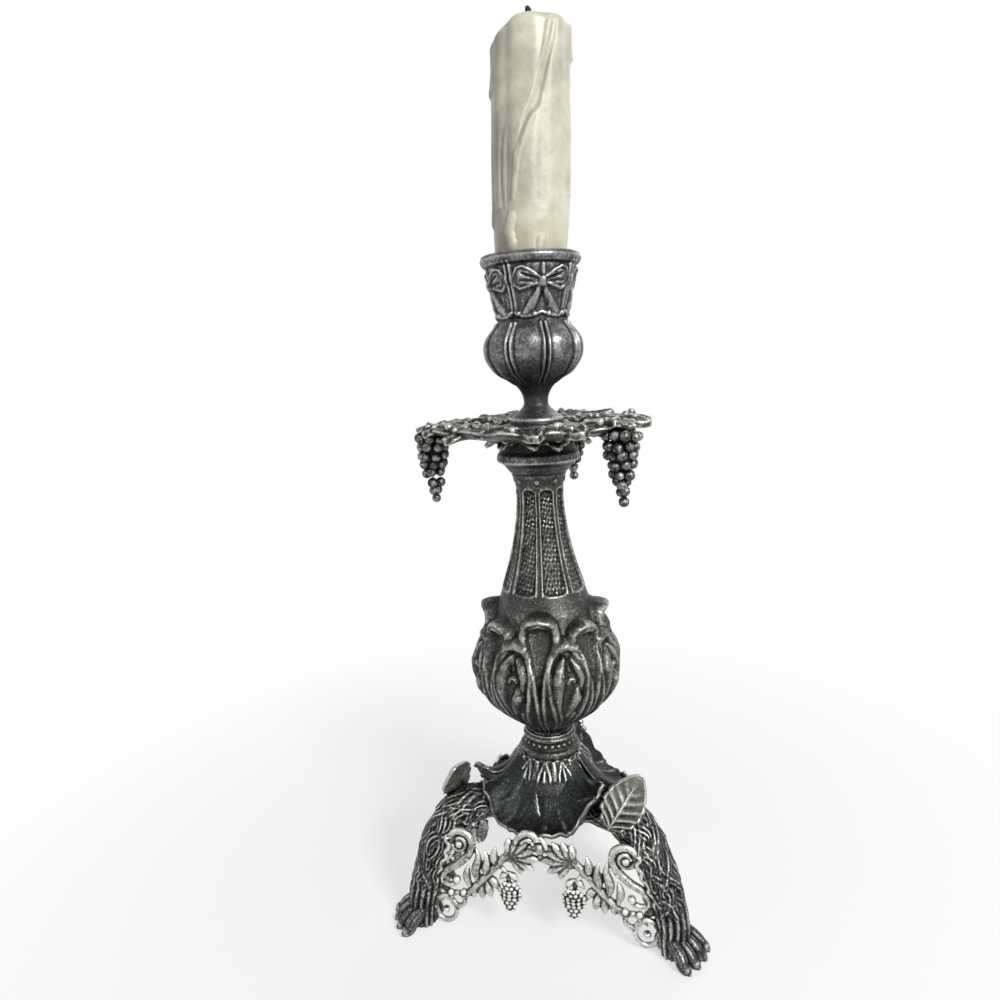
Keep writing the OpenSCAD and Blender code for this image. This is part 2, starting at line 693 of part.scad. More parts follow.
// Rows of a small cluster, from its tip: height as a share of vine_top, radius in vine radii
cluster_shares = [[0.35, 0.6], [0.38, 1.7], [0.42, 2.4], [0.47, 3.2], [0.52, 3.6], [0.57, 2.4]];
cluster_sides = 8;
cluster_knob = 0.14;
cluster_stalk_shares = [[0.43, 0.73], [0.33, 0.56]];
spray_root_share = [0.57, 0.57];
spray_tip_shares = [[0.49, 0.42], [0.62, 0.35]];
blade_shares = [[[0.6, 0.54], [0.55, 0.8]], [[0.68, 0.46], [0.66, 0.78]], [[0.75, 0.38], [0.76, 0.66]]];
curl_share = [0.835, 0.865];
curl_r_share = 0.135;
curl_end_share = 0.25;
curl_turns = 1.25;
tail_shares = [[0.72, 0.76], [0.84, 0.68], [0.98, 0.6], [1.05, 0.54], [0.99, 0.47], [0.88, 0.48]];
loop_shares = [[0.88, 0.29], [1.02, 0.175]];
loop_r_shares = [[0.074, 0.07], [0.125, 0.135]];
// The edge that is soldered along the leg
edge_shares = [[0.945, 0.96], [0.955, 0.81], [1.075, 0.58], [1.15, 0.33], [1.155, 0.09]];

// A point on the panel, which bows out in its middle
function on_panel(share) = [
    vine_half * share[0],
    -(vine_reach + vine_bow * (1 - share[0] * share[0])),
    vine_top * share[1]
];
// Shares along a curl that starts on its left side and winds in to its middle
curl_path_shares = [
    for (a = [0 : 45 : 360 * curl_turns])
        curl_share + curl_r_share * (1 - (1 - curl_end_share) * a / (360 * curl_turns))
            * [-cos(a) * vine_top / vine_half, sin(a)]
];
// Shares round a loop, from its top and back over its first step
function loop_path_shares(centre, size) = [
    for (a = [0 : 60 : 420])
        centre + [size[0] * sin(a), size[1] * cos(a)]
];

// A pointed blade from a root to a tip
module blade(root, tip, width) {
    hull()
        vine(
            [on_panel(root), on_panel((root + tip) / 2), on_panel(tip)],
            [width / 2, width, width / 4],
            blade_sides
        );
}

module panel_line(places, r) {
    vine([for (p = places) on_panel(p)], [for (p = places) r], vine_sides);
}

// A small cluster whose knobs stand in alternate rows, as grapes do
module small_cluster() {
    skin([
        for (i = [0 : len(cluster_shares) - 1])
            let (middle = on_panel([cluster_stalk_shares[1][0], cluster_shares[i][0]]))
            [
                for (j = [0 : cluster_sides - 1])
                    middle + around(
                        vine_r * cluster_shares[i][1] * (1 + cluster_knob * (2 * ((i + j) % 2) - 1)),
                        360 * j / cluster_sides,
                        0
                    )
            ]
    ]);
}

// A lobed leaf with a raised middle
module lobed_leaf() {
    skin([
        for (layer = lobed_leaf_layer_shares)
            [
                for (share = lobed_leaf_shares)
                    on_panel(lobed_leaf_middle_share + (share - lobed_leaf_middle_share) * layer[0])
                        + [0, vine_r * layer[1], 0]
            ]
    ]);
}

module vine_half_panel() {
    panel_line(main_stem_shares, vine_r);
    lobed_leaf();
    panel_line(cluster_stalk_shares, vine_tendril_r);
    small_cluster();
    for (tip = spray_tip_shares)
        blade(spray_root_share, tip, vine_r * 1.1);
    for (leaf = blade_shares)
        blade(leaf[0], leaf[1], vine_r);
    panel_line(curl_path_shares, vine_tendril_r);
    panel_line(concat([curl_path_shares[0]], tail_shares), vine_tendril_r);
    for (i = [0 : len(loop_shares) - 1])
        panel_line(loop_path_shares(loop_shares[i], loop_r_shares[i]), vine_tendril_r);
    panel_line(edge_shares, vine_r * 1.15);
}

module vine_apron(angle) {
    color(dark_pewter)
        rotate([0, 0, angle - panel_angles[0]])
            difference() {
                union() {
                    vine_half_panel();
                    mirror([1, 0, 0])
                        vine_half_panel();
                    hull() {
                        for (side = [-1, 1])
                            translate(on_panel([side * main_stem_shares[0][0], main_stem_shares[0][1]]))
                                sphere(r = vine_knot_r, $fn = 8);
                    }
                }
                for (a = [leg_angles[0], leg_angles[1]])
                    rotate([0, 0, a])
                        leg_skin(solder);
            }
}
module vine_apron_1() vine_apron(panel_angles[0]);
module vine_apron_2() vine_apron(panel_angles[1]);
module vine_apron_3() vine_apron(panel_angles[2]);

// Large leaves
// A large leaf wraps a third of the hub. Its outline: share of the half angle, share of its length
leaf_half_angle = 57;
leaf_seat_share = 0.52;
leaf_slope_share = 0.93;
leaf_vein = leaf_t * 0.25;
leaf_root_r = hub_cap_r + solder;
leaf_tip_r = vine_reach + vine_bow - vine_knot_r - solder;
leaf_outline_shares = [
    [0, (leaf_tip_r - leaf_root_r) / (leaf_reach - leaf_root_r)],
    [0.1, 0.7], [0.2, 0.5], [0.3, 0.66], [0.4, 0.88], [0.5, 0.93], [0.6, 0.8], [0.7, 0.56],
    [0.8, 0.84], [0.9, 1], [1, 0.62]
];
leaf_steps = 20;
leaf_rings = 3;

function leaf_point(f, share) =
    let (
        length = (leaf_reach - leaf_root_r) * lookup(abs(f), leaf_outline_shares) * share,
        slope = leaf_slope_share * (1.38 * abs(f) - 1),
        vein = leaf_vein * pow(cos(360 * f * 2.2), 2) * (0.4 + 0.6 * share)
    )
    around(
        leaf_root_r + length,
        leaf_half_angle * f,
        hub_floor + hub_h * leaf_seat_share + leaf_rise * f * f + slope * length + vein
    );

module base_leaf(angle) {
    color(dark_pewter)
        rotate([0, 0, angle])
            skin([
                for (i = [0 : leaf_steps])
                    let (
                        f = 2 * i / leaf_steps - 1,
                        upper = [for (k = [0 : leaf_rings]) leaf_point(f, k / leaf_rings)]
                    )
                    concat(
                        upper,
                        [for (k = [leaf_rings : -1 : 0]) upper[k] - [0, 0, leaf_t * (1 - 0.3 * k / leaf_rings)]]
                    )
            ]);
}
module base_leaf_1() base_leaf(panel_angles[0]);
module base_leaf_2() base_leaf(panel_angles[1]);
module base_leaf_3() base_leaf(panel_angles[2]);

// Small leaves that lean on the legs' shoulders
// Ends of the small leaf: out as a share of foot_reach, aside in half leg widths, up as a share of base_h
leg_leaf_low_share = [0.505, -1.14, 0.732];
leg_leaf_high_share = [0.62, 0.125, 1.02];
leg_leaf_facing = [0.5, -0.75, 0.35];
leg_leaf_cup = 1.4;
leg_leaf_steps = 10;

module leg_leaf(angle) {
    low = [foot_reach * leg_leaf_low_share[0], leg_w * leg_leaf_low_share[1], base_h * leg_leaf_low_share[2]];
    high = [foot_reach * leg_leaf_high_share[0], leg_w * leg_leaf_high_share[1], base_h * leg_leaf_high_share[2]];
    along = unit(high - low);
    across = unit(cross(along, leg_leaf_facing));
    face = cross(across, along);
    color(pewter)
        rotate([0, 0, angle])
            difference() {
                skin([
                    for (i = [0 : leg_leaf_steps])
                        let (
                            t = i / leg_leaf_steps,
                            half = leg_leaf_w * (0.08 + 0.92 * pow(sin(180 * pow(t, 0.85)), 0.8)),
                            middle = low + (high - low) * t + face * leg_leaf_cup * cos(180 * t)
                        )
                        concat(
                            [for (v = [-1 : 0.5 : 1])
                                middle + across * half * v + face * leg_leaf_cup * (v * v - 0.3 * (v == 0 ? 1 : 0))],
                            [for (v = [1 : -0.5 : -1])
                                middle + across * half * v + face * (leg_leaf_cup * v * v - leaf_t)]
                        )
                ]);
                leg_skin(solder);
            }
}
module leg_leaf_1() leg_leaf(leg_angles[0]);
module leg_leaf_2() leg_leaf(leg_angles[1]);
module leg_leaf_3() leg_leaf(leg_angles[2]);

// Rod, washer and nut that draw the candlestick together
washer_z = hub_floor - washer_t;
nut_z = washer_z - nut_h;

module tie_rod() {
    low = nut_z - rod_end;
    color("silver")
        translate([0, 0, low])
            cylinder(r = rod_r, h = cup_z + rod_grip - low);
}

module rod_washer() {
    color("silver")
        translate([0, 0, washer_z])
            difference() {
                cylinder(r = washer_r, h = washer_t);
                translate([0, 0, -overrun])
                    cylinder(r = rod_bore_r, h = washer_t + 2 * overrun);
            }
}

module rod_nut() {
    color("silver")
        translate([0, 0, nut_z])
            difference() {
                cylinder(r = nut_af / 2 / cos(30), h = nut_h, $fn = 6);
                translate([0, 0, -overrun])
                    cylinder(r = rod_r + thread_gap, h = nut_h + 2 * overrun);
            }
}

candle();
wick();
candle_cup();
drip_pan();
grape_bunch_1();
grape_bunch_2();
grape_bunch_3();
stem();
collar();
base_hub();
leg_1();
leg_2();
leg_3();
vine_apron_1();
vine_apron_2();
vine_apron_3();
base_leaf_1();
base_leaf_2();
base_leaf_3();
leg_leaf_1();
leg_leaf_2();
leg_leaf_3();
tie_rod();
rod_washer();
rod_nut();
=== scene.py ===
import logging
import math
import random
from collections.abc import Callable, Sequence
from dataclasses import dataclass
from enum import Enum

import bmesh
import bpy
import numpy as np
from mathutils import Matrix, Vector


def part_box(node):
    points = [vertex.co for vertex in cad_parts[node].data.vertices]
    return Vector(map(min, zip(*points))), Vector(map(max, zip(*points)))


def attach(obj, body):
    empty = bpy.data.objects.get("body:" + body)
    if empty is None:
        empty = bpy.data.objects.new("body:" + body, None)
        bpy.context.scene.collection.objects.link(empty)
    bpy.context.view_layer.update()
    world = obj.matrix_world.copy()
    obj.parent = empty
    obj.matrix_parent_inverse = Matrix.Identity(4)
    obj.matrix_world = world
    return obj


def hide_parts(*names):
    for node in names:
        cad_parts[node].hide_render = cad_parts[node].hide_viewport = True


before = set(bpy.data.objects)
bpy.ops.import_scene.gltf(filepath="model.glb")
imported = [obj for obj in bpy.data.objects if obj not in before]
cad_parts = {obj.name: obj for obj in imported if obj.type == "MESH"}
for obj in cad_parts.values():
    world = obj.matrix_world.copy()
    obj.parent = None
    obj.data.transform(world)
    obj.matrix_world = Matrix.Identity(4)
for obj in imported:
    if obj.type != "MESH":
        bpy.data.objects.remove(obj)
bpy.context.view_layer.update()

log = logging.getLogger("candlestick")

# Sizes in this script are in millimetres, as on a drawing. dress() brings each piece to metres.
MM = 0.001

Array = np.ndarray
BMesh = bmesh.types.BMesh
Object = bpy.types.Object
Socket = bpy.types.NodeSocket
Feed = Socket | float | Sequence[float]
Point2 = tuple[float, float]
Point3 = tuple[float, float, float]
Point4 = tuple[float, float, float, float]
Colour = Point3
Stroke = Sequence[Point4]
Field = Callable[[Array, Array, Array], Array]

# Where the three of each kind stand round the stem, in degrees, in the order of their nodes
BUNCH_ANGLES = (197, 326, 78)
LEG_ANGLES = (210, 330, 90)
PANEL_ANGLES = (270, 30, 150)

# Distance at which a turned profile's ends are welded, and the radius under which a profile runs in a bore
WELD = 0.001
BORE_LIMIT = 3.0
# Smoothing moves a vertex halfway to its neighbours' middle
SMOOTHING = {"factor": 0.5, "use_axis_x": True, "use_axis_y": True, "use_axis_z": True}


class Body(Enum):
    """The bodies that a piece can ride on."""

    HOLDER = "holder"
    CANDLE = "candle"


class Slot(Enum):
    """The record's material slots of the pieces made here."""

    WAX = "wax"
    WICK = "wick"
    PEWTER = "pewter"
    BASE = "base_pewter"


def low(node: str) -> float:
    """Returns the height of a CAD node's lowest point."""
    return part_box(node)[0].z / MM


def high(node: str) -> float:
    """Returns the height of a CAD node's highest point."""
    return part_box(node)[1].z / MM


# Curves and relief


def eased(edge_0: float, edge_1: float, x: float | Array) -> float | Array:
    """Returns a smooth step from 0 at edge_0 to 1 at edge_1."""
    t = np.clip((x - edge_0) / (edge_1 - edge_0), 0, 1)
    return t * t * (3 - 2 * t)


def wrapped(angle: float | Array) -> float | Array:
    """Returns an angle in degrees between -180 and 180."""
    return (angle + 180) % 360 - 180


def polar(radius: float, turn: float, z: float) -> Point3:
    """Returns the place at a radius, an angle in radians and a height."""
    return (radius * math.cos(turn), radius * math.sin(turn), z)


def curve_through(points: Sequence[Sequence[float]], step: float) -> list[Array]:
    """Draws a smooth curve through points.

    Args:
        points: places of any dimension, at least two.
        step: largest distance between two places of the curve.

    Returns:
        Places along the curve, with the given points among them.
    """
    rows = [np.array(p, float) for p in points]
    rows = [2 * rows[0] - rows[1], *rows, 2 * rows[-1] - rows[-2]]
    places = []
    for a, b, c, d in zip(rows, rows[1:], rows[2:], rows[3:]):
        parts = max(1, math.ceil(float(np.linalg.norm((c - b)[:3])) / step))
        for i in range(parts):
            t = i / parts
            places.append(
                b
                + 0.5 * t * (c - a)
                + t * t * (a - 2.5 * b + 2 * c - 0.5 * d)
                + 0.5 * t * t * t * (3 * b - a - 3 * c + d)
            )
    return [*places, rows[-2]]


def mirrored(strokes: Sequence[Stroke]) -> list[Stroke]:
    """Returns the strokes with their mirror images across the middle."""
    flipped = [[(-u, v, w, h) for u, v, w, h in stroke] for stroke in strokes]
    return [*strokes, *flipped]


def ridges(u: Array, v: Array, strokes: Sequence[Stroke]) -> Array:
    """Draws rounded ridges and grooves on a surface.

    Args:
        u: distance across, for each vertex.
        v: distance up, for each vertex.
        strokes: lines of (across, up, half width, height). A negative height cuts a groove.

    Returns:
        The height of the relief at each vertex.
    """
    raised = np.zeros_like(u)
    sunk = np.zeros_like(u)
    for stroke in strokes:
        for (u0, v0, w0, h0), (u1, v1, w1, h1) in zip(stroke, stroke[1:]):
            reach = max(w0, w1)
            near = (
                (u > min(u0, u1) - reach)
                & (u < max(u0, u1) + reach)
                & (v > min(v0, v1) - reach)
                & (v < max(v0, v1) + reach)
            )
            if not near.any():
                continue
            du, dv = u1 - u0, v1 - v0
            uu, vv = u[near] - u0, v[near] - v0
            t = np.clip((uu * du + vv * dv) / max(du * du + dv * dv, 1e-9), 0, 1)
            away = np.hypot(uu - t * du, vv - t * dv) / (w0 + (w1 - w0) * t)
            rise = (h0 + (h1 - h0) * t) * np.sqrt(np.clip(1 - away * away, 0, 1))
            raised[near] = np.maximum(raised[near], rise)
            sunk[near] = np.minimum(sunk[near], rise)
    return raised + sunk


def across(angle: Array, radius: Array, turn: float, count: int) -> Array:
    """Returns each vertex's distance, round the axis, from the middle of its sector."""
    return np.radians(sector(angle, turn, count)[1]) * radius


def bell(x: float | Array, width: float) -> float | Array:
    """Returns a bell curve of height 1 over 0."""
    return np.exp(-((x / width) ** 2))


def sector(angle: Array, turn: float, count: int) -> tuple[Array, Array]:
    """Splits angles into equal sectors.

    Args:
        angle: angles in degrees.
        turn: the middle of the first sector.
        count: sectors in a full turn.

    Returns:
        Each angle's sector number, and its offset in degrees from that sector's middle.
    """
    pitch = 360 / count
    number = np.round((angle - turn) / pitch)
    return number % count, angle - turn - number * pitch


# Meshes


def revolved(line: Sequence[Point2], steps: int, weld: float) -> BMesh:
    """Turns a line round the upright axis and welds it where it closes.

    Args:
        line: (radius, height) places.
        steps: faces round the axis.
        weld: distance at which vertices merge.

    Returns:
        The surface.
    """
    bm = bmesh.new()
    verts = [bm.verts.new((r, 0, z)) for r, z in line]
    edges = [bm.edges.new(pair) for pair in zip(verts, verts[1:])]
    geom = [*verts, *edges]
    bmesh.ops.spin(bm, geom=geom, cent=(0, 0, 0), axis=(0, 0, 1), angle=math.tau, steps=steps, use_merge=True)
    bmesh.ops.remove_doubles(bm, verts=bm.verts[:], dist=weld)
    return bm


def spun(profile: Sequence[Point2], steps: int, step: float) -> BMesh:
    """Turns a profile round the upright axis.

    Args:
        profile: (radius, height) places. A profile with a bore ends where it starts.
        steps: faces round the axis.
        step: largest distance between rows.

    Returns:
        A closed mesh.
    """
    rows = []
    for a, b in zip(profile, profile[1:]):
        # A bore is out of sight and needs no rows
        parts = 1 if max(a[0], b[0]) < BORE_LIMIT else math.ceil(math.dist(a, b) / step)
        rows += [(a[0] + (b[0] - a[0]) * i / parts, a[1] + (b[1] - a[1]) * i / parts) for i in range(parts)]
    bm = revolved([*rows, profile[-1]], steps, WELD)
    bmesh.ops.recalc_face_normals(bm, faces=bm.faces[:])
    return bm


def with_bore(outside: Sequence[Sequence[float]], bore_r: float) -> list[Point2]:
    """Returns an outside profile, from its foot up, closed along a bore."""
    foot, head = outside[0][1], outside[-1][1]
    return [(bore_r, foot), *[(float(p[0]), float(p[1])) for p in outside], (bore_r, head), (bore_r, foot)]


def mapped_grid(columns: int, rows: int, place: Callable[[float, float], Vector]) -> BMesh:
    """Lays a square grid on a surface.

    Args:
        columns: faces along the first coordinate.
        rows: faces along the second coordinate.
        place: gives the place for two coordinates from -1 to 1.

    Returns:
        An open sheet.
    """
    bm = bmesh.new()
    bmesh.ops.create_grid(bm, x_segments=columns, y_segments=rows, size=1)
    for vert in bm.verts:
        vert.co = place(vert.co.x, vert.co.y)
    return bm


def thickened(bm: BMesh, thickness: float) -> BMesh:
    """Gives a sheet its thickness, with closed edges."""
    bmesh.ops.recalc_face_normals(bm, faces=bm.faces[:])
    bmesh.ops.solidify(bm, geom=bm.faces[:], thickness=thickness)
    bmesh.ops.recalc_face_normals(bm, faces=bm.faces[:])
    return bm


def ball(bm: BMesh, place: Point3, size: Point3 | float, fine: int = 2) -> None:
    """Adds a ball or an egg shape.

    Args:
        bm: the mesh that it is added to.
        place: its middle.
        size: its radius, or its three half sizes.
        fine: subdivisions of the ball.
    """
    half = (size, size, size) if isinstance(size, float) else size
    matrix = Matrix.Translation(place) @ Matrix.Diagonal((*half, 1))
    bmesh.ops.create_icosphere(bm, subdivisions=fine, radius=1, matrix=matrix)


def turn_by(angle: float, axis: str = "Z") -> Matrix:
    """Returns a turn by an angle in degrees about an axis."""
    return Matrix.Rotation(math.radians(angle), 4, axis)


def linked(name: str, data: bpy.types.ID) -> Object:
    """Returns a new object of the data, in the scene."""
    thing = bpy.data.objects.new(name, data)
    bpy.context.scene.collection.objects.link(thing)
    return thing


def new_object(name: str, bm: BMesh) -> Object:
    """Makes an object of a bmesh and frees the bmesh."""
    mesh = bpy.data.meshes.new(name)
    bm.to_mesh(mesh)
    bm.free()
    return linked(name, mesh)


def evaluated_mesh(thing: Object) -> bpy.types.Mesh:
    """Returns a new mesh of an object, with its bevel or modifiers applied."""
    return bpy.data.meshes.new_from_object(thing.evaluated_get(bpy.context.evaluated_depsgraph_get()))


def tubes(name: str, runs: Sequence[Sequence[Sequence[float]]], step: float = 0.5) -> Object:
    """Makes round stems of changing thickness.

    Args:
        name: the object's name.
        runs: for each stem, its places as (x, y, z, radius).
        step: largest distance between rings.

    Returns:
        A mesh object of closed tubes.
    """
    curve = bpy.data.curves.new(name, "CURVE")
    curve.dimensions = "3D"
    curve.bevel_depth = 1
    curve.bevel_resolution = 3
    curve.use_fill_caps = True
    thinnest = 0.05
    for run in runs:
        places = curve_through(run, step)
        spline = curve.splines.new("POLY")
        spline.points.add(len(places) - 1)
        for point, place in zip(spline.points, places):
            point.co = (*place[:3], 1)
            point.radius = max(thinnest, place[3])
    stems = linked(name, curve)
    mesh = evaluated_mesh(stems)
    bpy.data.objects.remove(stems)
    bpy.data.curves.remove(curve)
    return linked(name, mesh)


def joined(name: str, parts: Sequence[Object]) -> Object:
    """Joins objects into one and removes them.

    Args:
        name: the new object's name.
        parts: mesh objects.

    Returns:
        The new object.
    """
    bm = bmesh.new()
    for part in parts:
        bm.from_mesh(part.data)
        mesh = part.data
        bpy.data.objects.remove(part)
        bpy.data.meshes.remove(mesh)
    return new_object(name, bm)


def fused(piece: Object, voxel: float, passes: int) -> None:
    """Melts overlapping forms of a piece into one skin, as a casting has.

    Args:
        piece: the object, of closed forms.
        voxel: size of the skin's faces.
        passes: how often the skin is smoothed afterwards.
    """
    remesh = piece.modifiers.new("fuse", "REMESH")
    remesh.mode = "VOXEL"
    remesh.voxel_size = voxel
    old = piece.data
    piece.data = evaluated_mesh(piece)
    piece.modifiers.clear()
    bpy.data.meshes.remove(old)
    bm = bmesh.new()
    bm.from_mesh(piece.data)
    for _ in range(passes):
        bmesh.ops.smooth_vert(bm, verts=bm.verts[:], **SMOOTHING)
    bm.to_mesh(piece.data)
    bm.free()


def turned_copy(piece: Object, name: str, angle: float) -> Object:
    """Returns a copy turned by an angle in degrees about the stem's axis."""
    mesh = piece.data.copy()
    mesh.transform(turn_by(angle))
    return linked(name, mesh)


def places_of(mesh: bpy.types.Mesh) -> Array:
    """Returns a mesh's vertices as rows of x, y and z."""
    flat = np.zeros(len(mesh.vertices) * 3, np.float32)
    mesh.vertices.foreach_get("co", flat)
    return flat.reshape(-1, 3).astype(float)


def move_to(mesh: bpy.types.Mesh, co: Array) -> None:
    """Moves a mesh's vertices to new places."""
    mesh.vertices.foreach_set("co", co.astype(np.float32).ravel())
    mesh.update()


def raise_radially(piece: Object, field: Field, inner_r: float = 0.0) -> None:
    """Moves a turned piece's vertices out from the axis.

    Args:
        piece: the object.
        field: gives the height of the relief for angles in degrees, heights and radii.
        inner_r: radius of a bore, whose vertices stay.
    """
    co = places_of(piece.data)
    radius = np.hypot(co[:, 0], co[:, 1])
    outside = radius > inner_r + 0.1
    angle = np.degrees(np.arctan2(co[:, 1], co[:, 0]))
    rise = np.where(outside, field(angle, co[:, 2], radius), 0)
    co[:, :2] *= (1 + rise / np.maximum(radius, 0.001))[:, None]
    move_to(piece.data, co)


def mark_wear(mesh: bpy.types.Mesh, reach: float) -> None:
    """Stores how far each vertex stands proud, for the polish on edges and the dark in hollows.

    Args:
        mesh: a mesh in millimetres.
        reach: radius of the rounding that counts as fully worn.
    """
    co = places_of(mesh)
    count = len(co)
    pairs = np.zeros(len(mesh.edges) * 2, np.int32)
    mesh.edges.foreach_get("vertices", pairs)
    a, b = pairs[0::2], pairs[1::2]
    degree = np.maximum(np.bincount(a, minlength=count) + np.bincount(b, minlength=count), 1)

    def mean_round(values: Array) -> Array:
        """Returns each vertex's mean over its neighbours."""
        total = np.bincount(a, values[b], count) + np.bincount(b, values[a], count)
        return total / degree

    normal = np.zeros(count * 3, np.float32)
    mesh.vertices.foreach_get("normal", normal)
    normal = normal.reshape(-1, 3)
    bulge = np.zeros(count)
    for axis in range(3):
        bulge += (co[:, axis] - mean_round(co[:, axis])) * normal[:, axis]
    length = np.linalg.norm(co[a] - co[b], axis=1)
    spread = (np.bincount(a, length**2, count) + np.bincount(b, length**2, count)) / degree
    bend = np.clip(bulge / np.maximum(spread, 1e-6) * 2 * reach, -1.5, 1.5)
    for _ in range(3):
        bend = (bend + mean_round(bend)) / 2
    layer = mesh.attributes.new("wear", "FLOAT", "POINT")
    layer.data.foreach_set("value", np.clip(0.5 + bend / 2, 0, 1).astype(np.float32))


# Finishes


class NodeTree:
    """Short calls for building a node tree."""

    def __init__(self, tree: bpy.types.NodeTree) -> None:
        """Takes the tree that the nodes are added to."""
        self.tree = tree

    def add(self, kind: str, settings: dict | None = None, **inputs: Feed) -> bpy.types.Node:
        """Adds a node.

        Args:
            kind: the node's type name.
            settings: attributes of the node itself.
            inputs: values or sockets for its inputs, by name with spaces as underscores.

        Returns:
            The new node.
        """
        node = self.tree.nodes.new(kind)
        for key, value in (settings or {}).items():
            setattr(node, key, value)
        self.feed(node, **inputs)
        return node

    def feed(self, node: bpy.types.Node, **inputs: Feed) -> None:
        """Sets or links a node's inputs by name."""
        for key, value in inputs.items():
            self.plug(node.inputs[key.replace("_", " ")], value)

    def plug(self, socket: Socket, value: Feed) -> None:
        """Links an input to another node's socket, or sets its value."""
        if isinstance(value, Socket):
            self.tree.links.new(value, socket)
        else:
            socket.default_value = value

    def math(self, operation: str, first: Feed, second: Feed, clamp: bool = False) -> Socket:
        """Does one sum.

        Args:
            operation: the sum's name.
            first: a value or a socket.
            second: a value or a socket.
            clamp: whether the result is kept between 0 and 1.

        Returns:
            The result.
        """
        node = self.add("ShaderNodeMath", {"operation": operation, "use_clamp": clamp})
        self.plug(node.inputs[0], first)
        self.plug(node.inputs[1], second)
        return node.outputs[0]

    def seen(self) -> Socket:
        """Returns 1 for what camera, gloss and glass see, and 0 for light that falls on things."""
        path = self.add("ShaderNodeLightPath")
        seen = self.math("MAXIMUM", path.outputs["Is Camera Ray"], path.outputs["Is Glossy Ray"])
        return self.math("MAXIMUM", seen, path.outputs["Is Transmission Ray"])

    def blend(self, share: Socket, first: bpy.types.Node, second: bpy.types.Node) -> Socket:
        """Blends two shaders.

        Args:
            share: how much of the second is taken.
            first: a shader's node.
            second: a shader's node.

        Returns:
            The blended shader.
        """
        node = self.add("ShaderNodeMixShader")
        for socket, value in zip(node.inputs, (share, first.outputs[0], second.outputs[0])):
            self.plug(socket, value)
        return node.outputs[0]


class Recipe(NodeTree):
    """Short calls for building one material's nodes."""

    def __init__(self, name: str) -> None:
        """Starts a material with an empty node tree but for its output and shader."""
        self.material = bpy.data.materials.new(name)
        self.material.use_nodes = True
        super().__init__(self.material.node_tree)
        self.shader = self.tree.nodes["Principled BSDF"]
        self.output = self.tree.nodes["Material Output"]

    def mix(self, share: Socket, first: Socket | Colour, second: Socket | Colour) -> Socket:
        """Mixes two colours by a share.

        Args:
            share: how much of the second is taken.
            first: a colour or a socket.
            second: a colour or a socket.

        Returns:
            The mixed colour.
        """
        node = self.add("ShaderNodeMix", {"data_type": "RGBA"})
        self.plug(node.inputs[0], share)
        for socket, value in ((node.inputs[6], first), (node.inputs[7], second)):
            self.plug(socket, value if isinstance(value, Socket) else (*value, 1))
        return node.outputs[2]

    def wear(self) -> Socket:
        """Returns how far the surface stands proud, from 0 in a hollow to 1 on an edge."""
        return self.add("ShaderNodeAttribute", {"attribute_name": "wear"}).outputs["Fac"]

    def scaled(self, value: Socket, factor: float, shift: float) -> Socket:
        """Multiplies a value by a factor and shifts it."""
        return self.math("ADD", self.math("MULTIPLY", value, factor), shift)

    def stretch(self, value: Socket, low_end: float, high_end: float) -> Socket:
        """Spreads the values between two ends over 0 to 1."""
        return self.add("ShaderNodeMapRange", From_Min=low_end, From_Max=high_end, Value=value).outputs[0]

    def noise(self, scale: float, detail: float, roughness: float) -> Socket:
        """Adds noise in object coordinates, with a scale in waves to a millimetre."""
        where = self.add("ShaderNodeTexCoord").outputs["Object"]
        settings = {"Vector": where, "Scale": scale / MM, "Detail": detail, "Roughness": roughness}
        return self.add("ShaderNodeTexNoise", **settings).outputs[0]

    def bumps(self, *layers: tuple[Socket, float]) -> None:
        """Roughens the shader's surface.

        Args:
            layers: for each bump, its height socket and its depth in millimetres.
        """
        normal = None
        for height, depth in layers:
            node = self.add("ShaderNodeBump", Height=height, Distance=depth * MM, Strength=1.0)
            if normal is not None:
                self.feed(node, Normal=normal)
            normal = node.outputs[0]
        self.feed(self.shader, Normal=normal)


# Noise: waves to a millimetre, detail and roughness
CLOUD = (0.16, 5, 0.6)
GRAIN = (1.1, 6, 0.65)
SPECK = (2.6, 3, 0.6)
WAX_CLOUD = (0.07, 4, 0.6)
WAX_LUMPS = (0.22, 3, 0.5)
WAX_GRAIN = (0.6, 5, 0.6)
PLAIT = (3.0, 3, 0.7)
STEEL_GRAIN = (1.6, 4, 0.6)


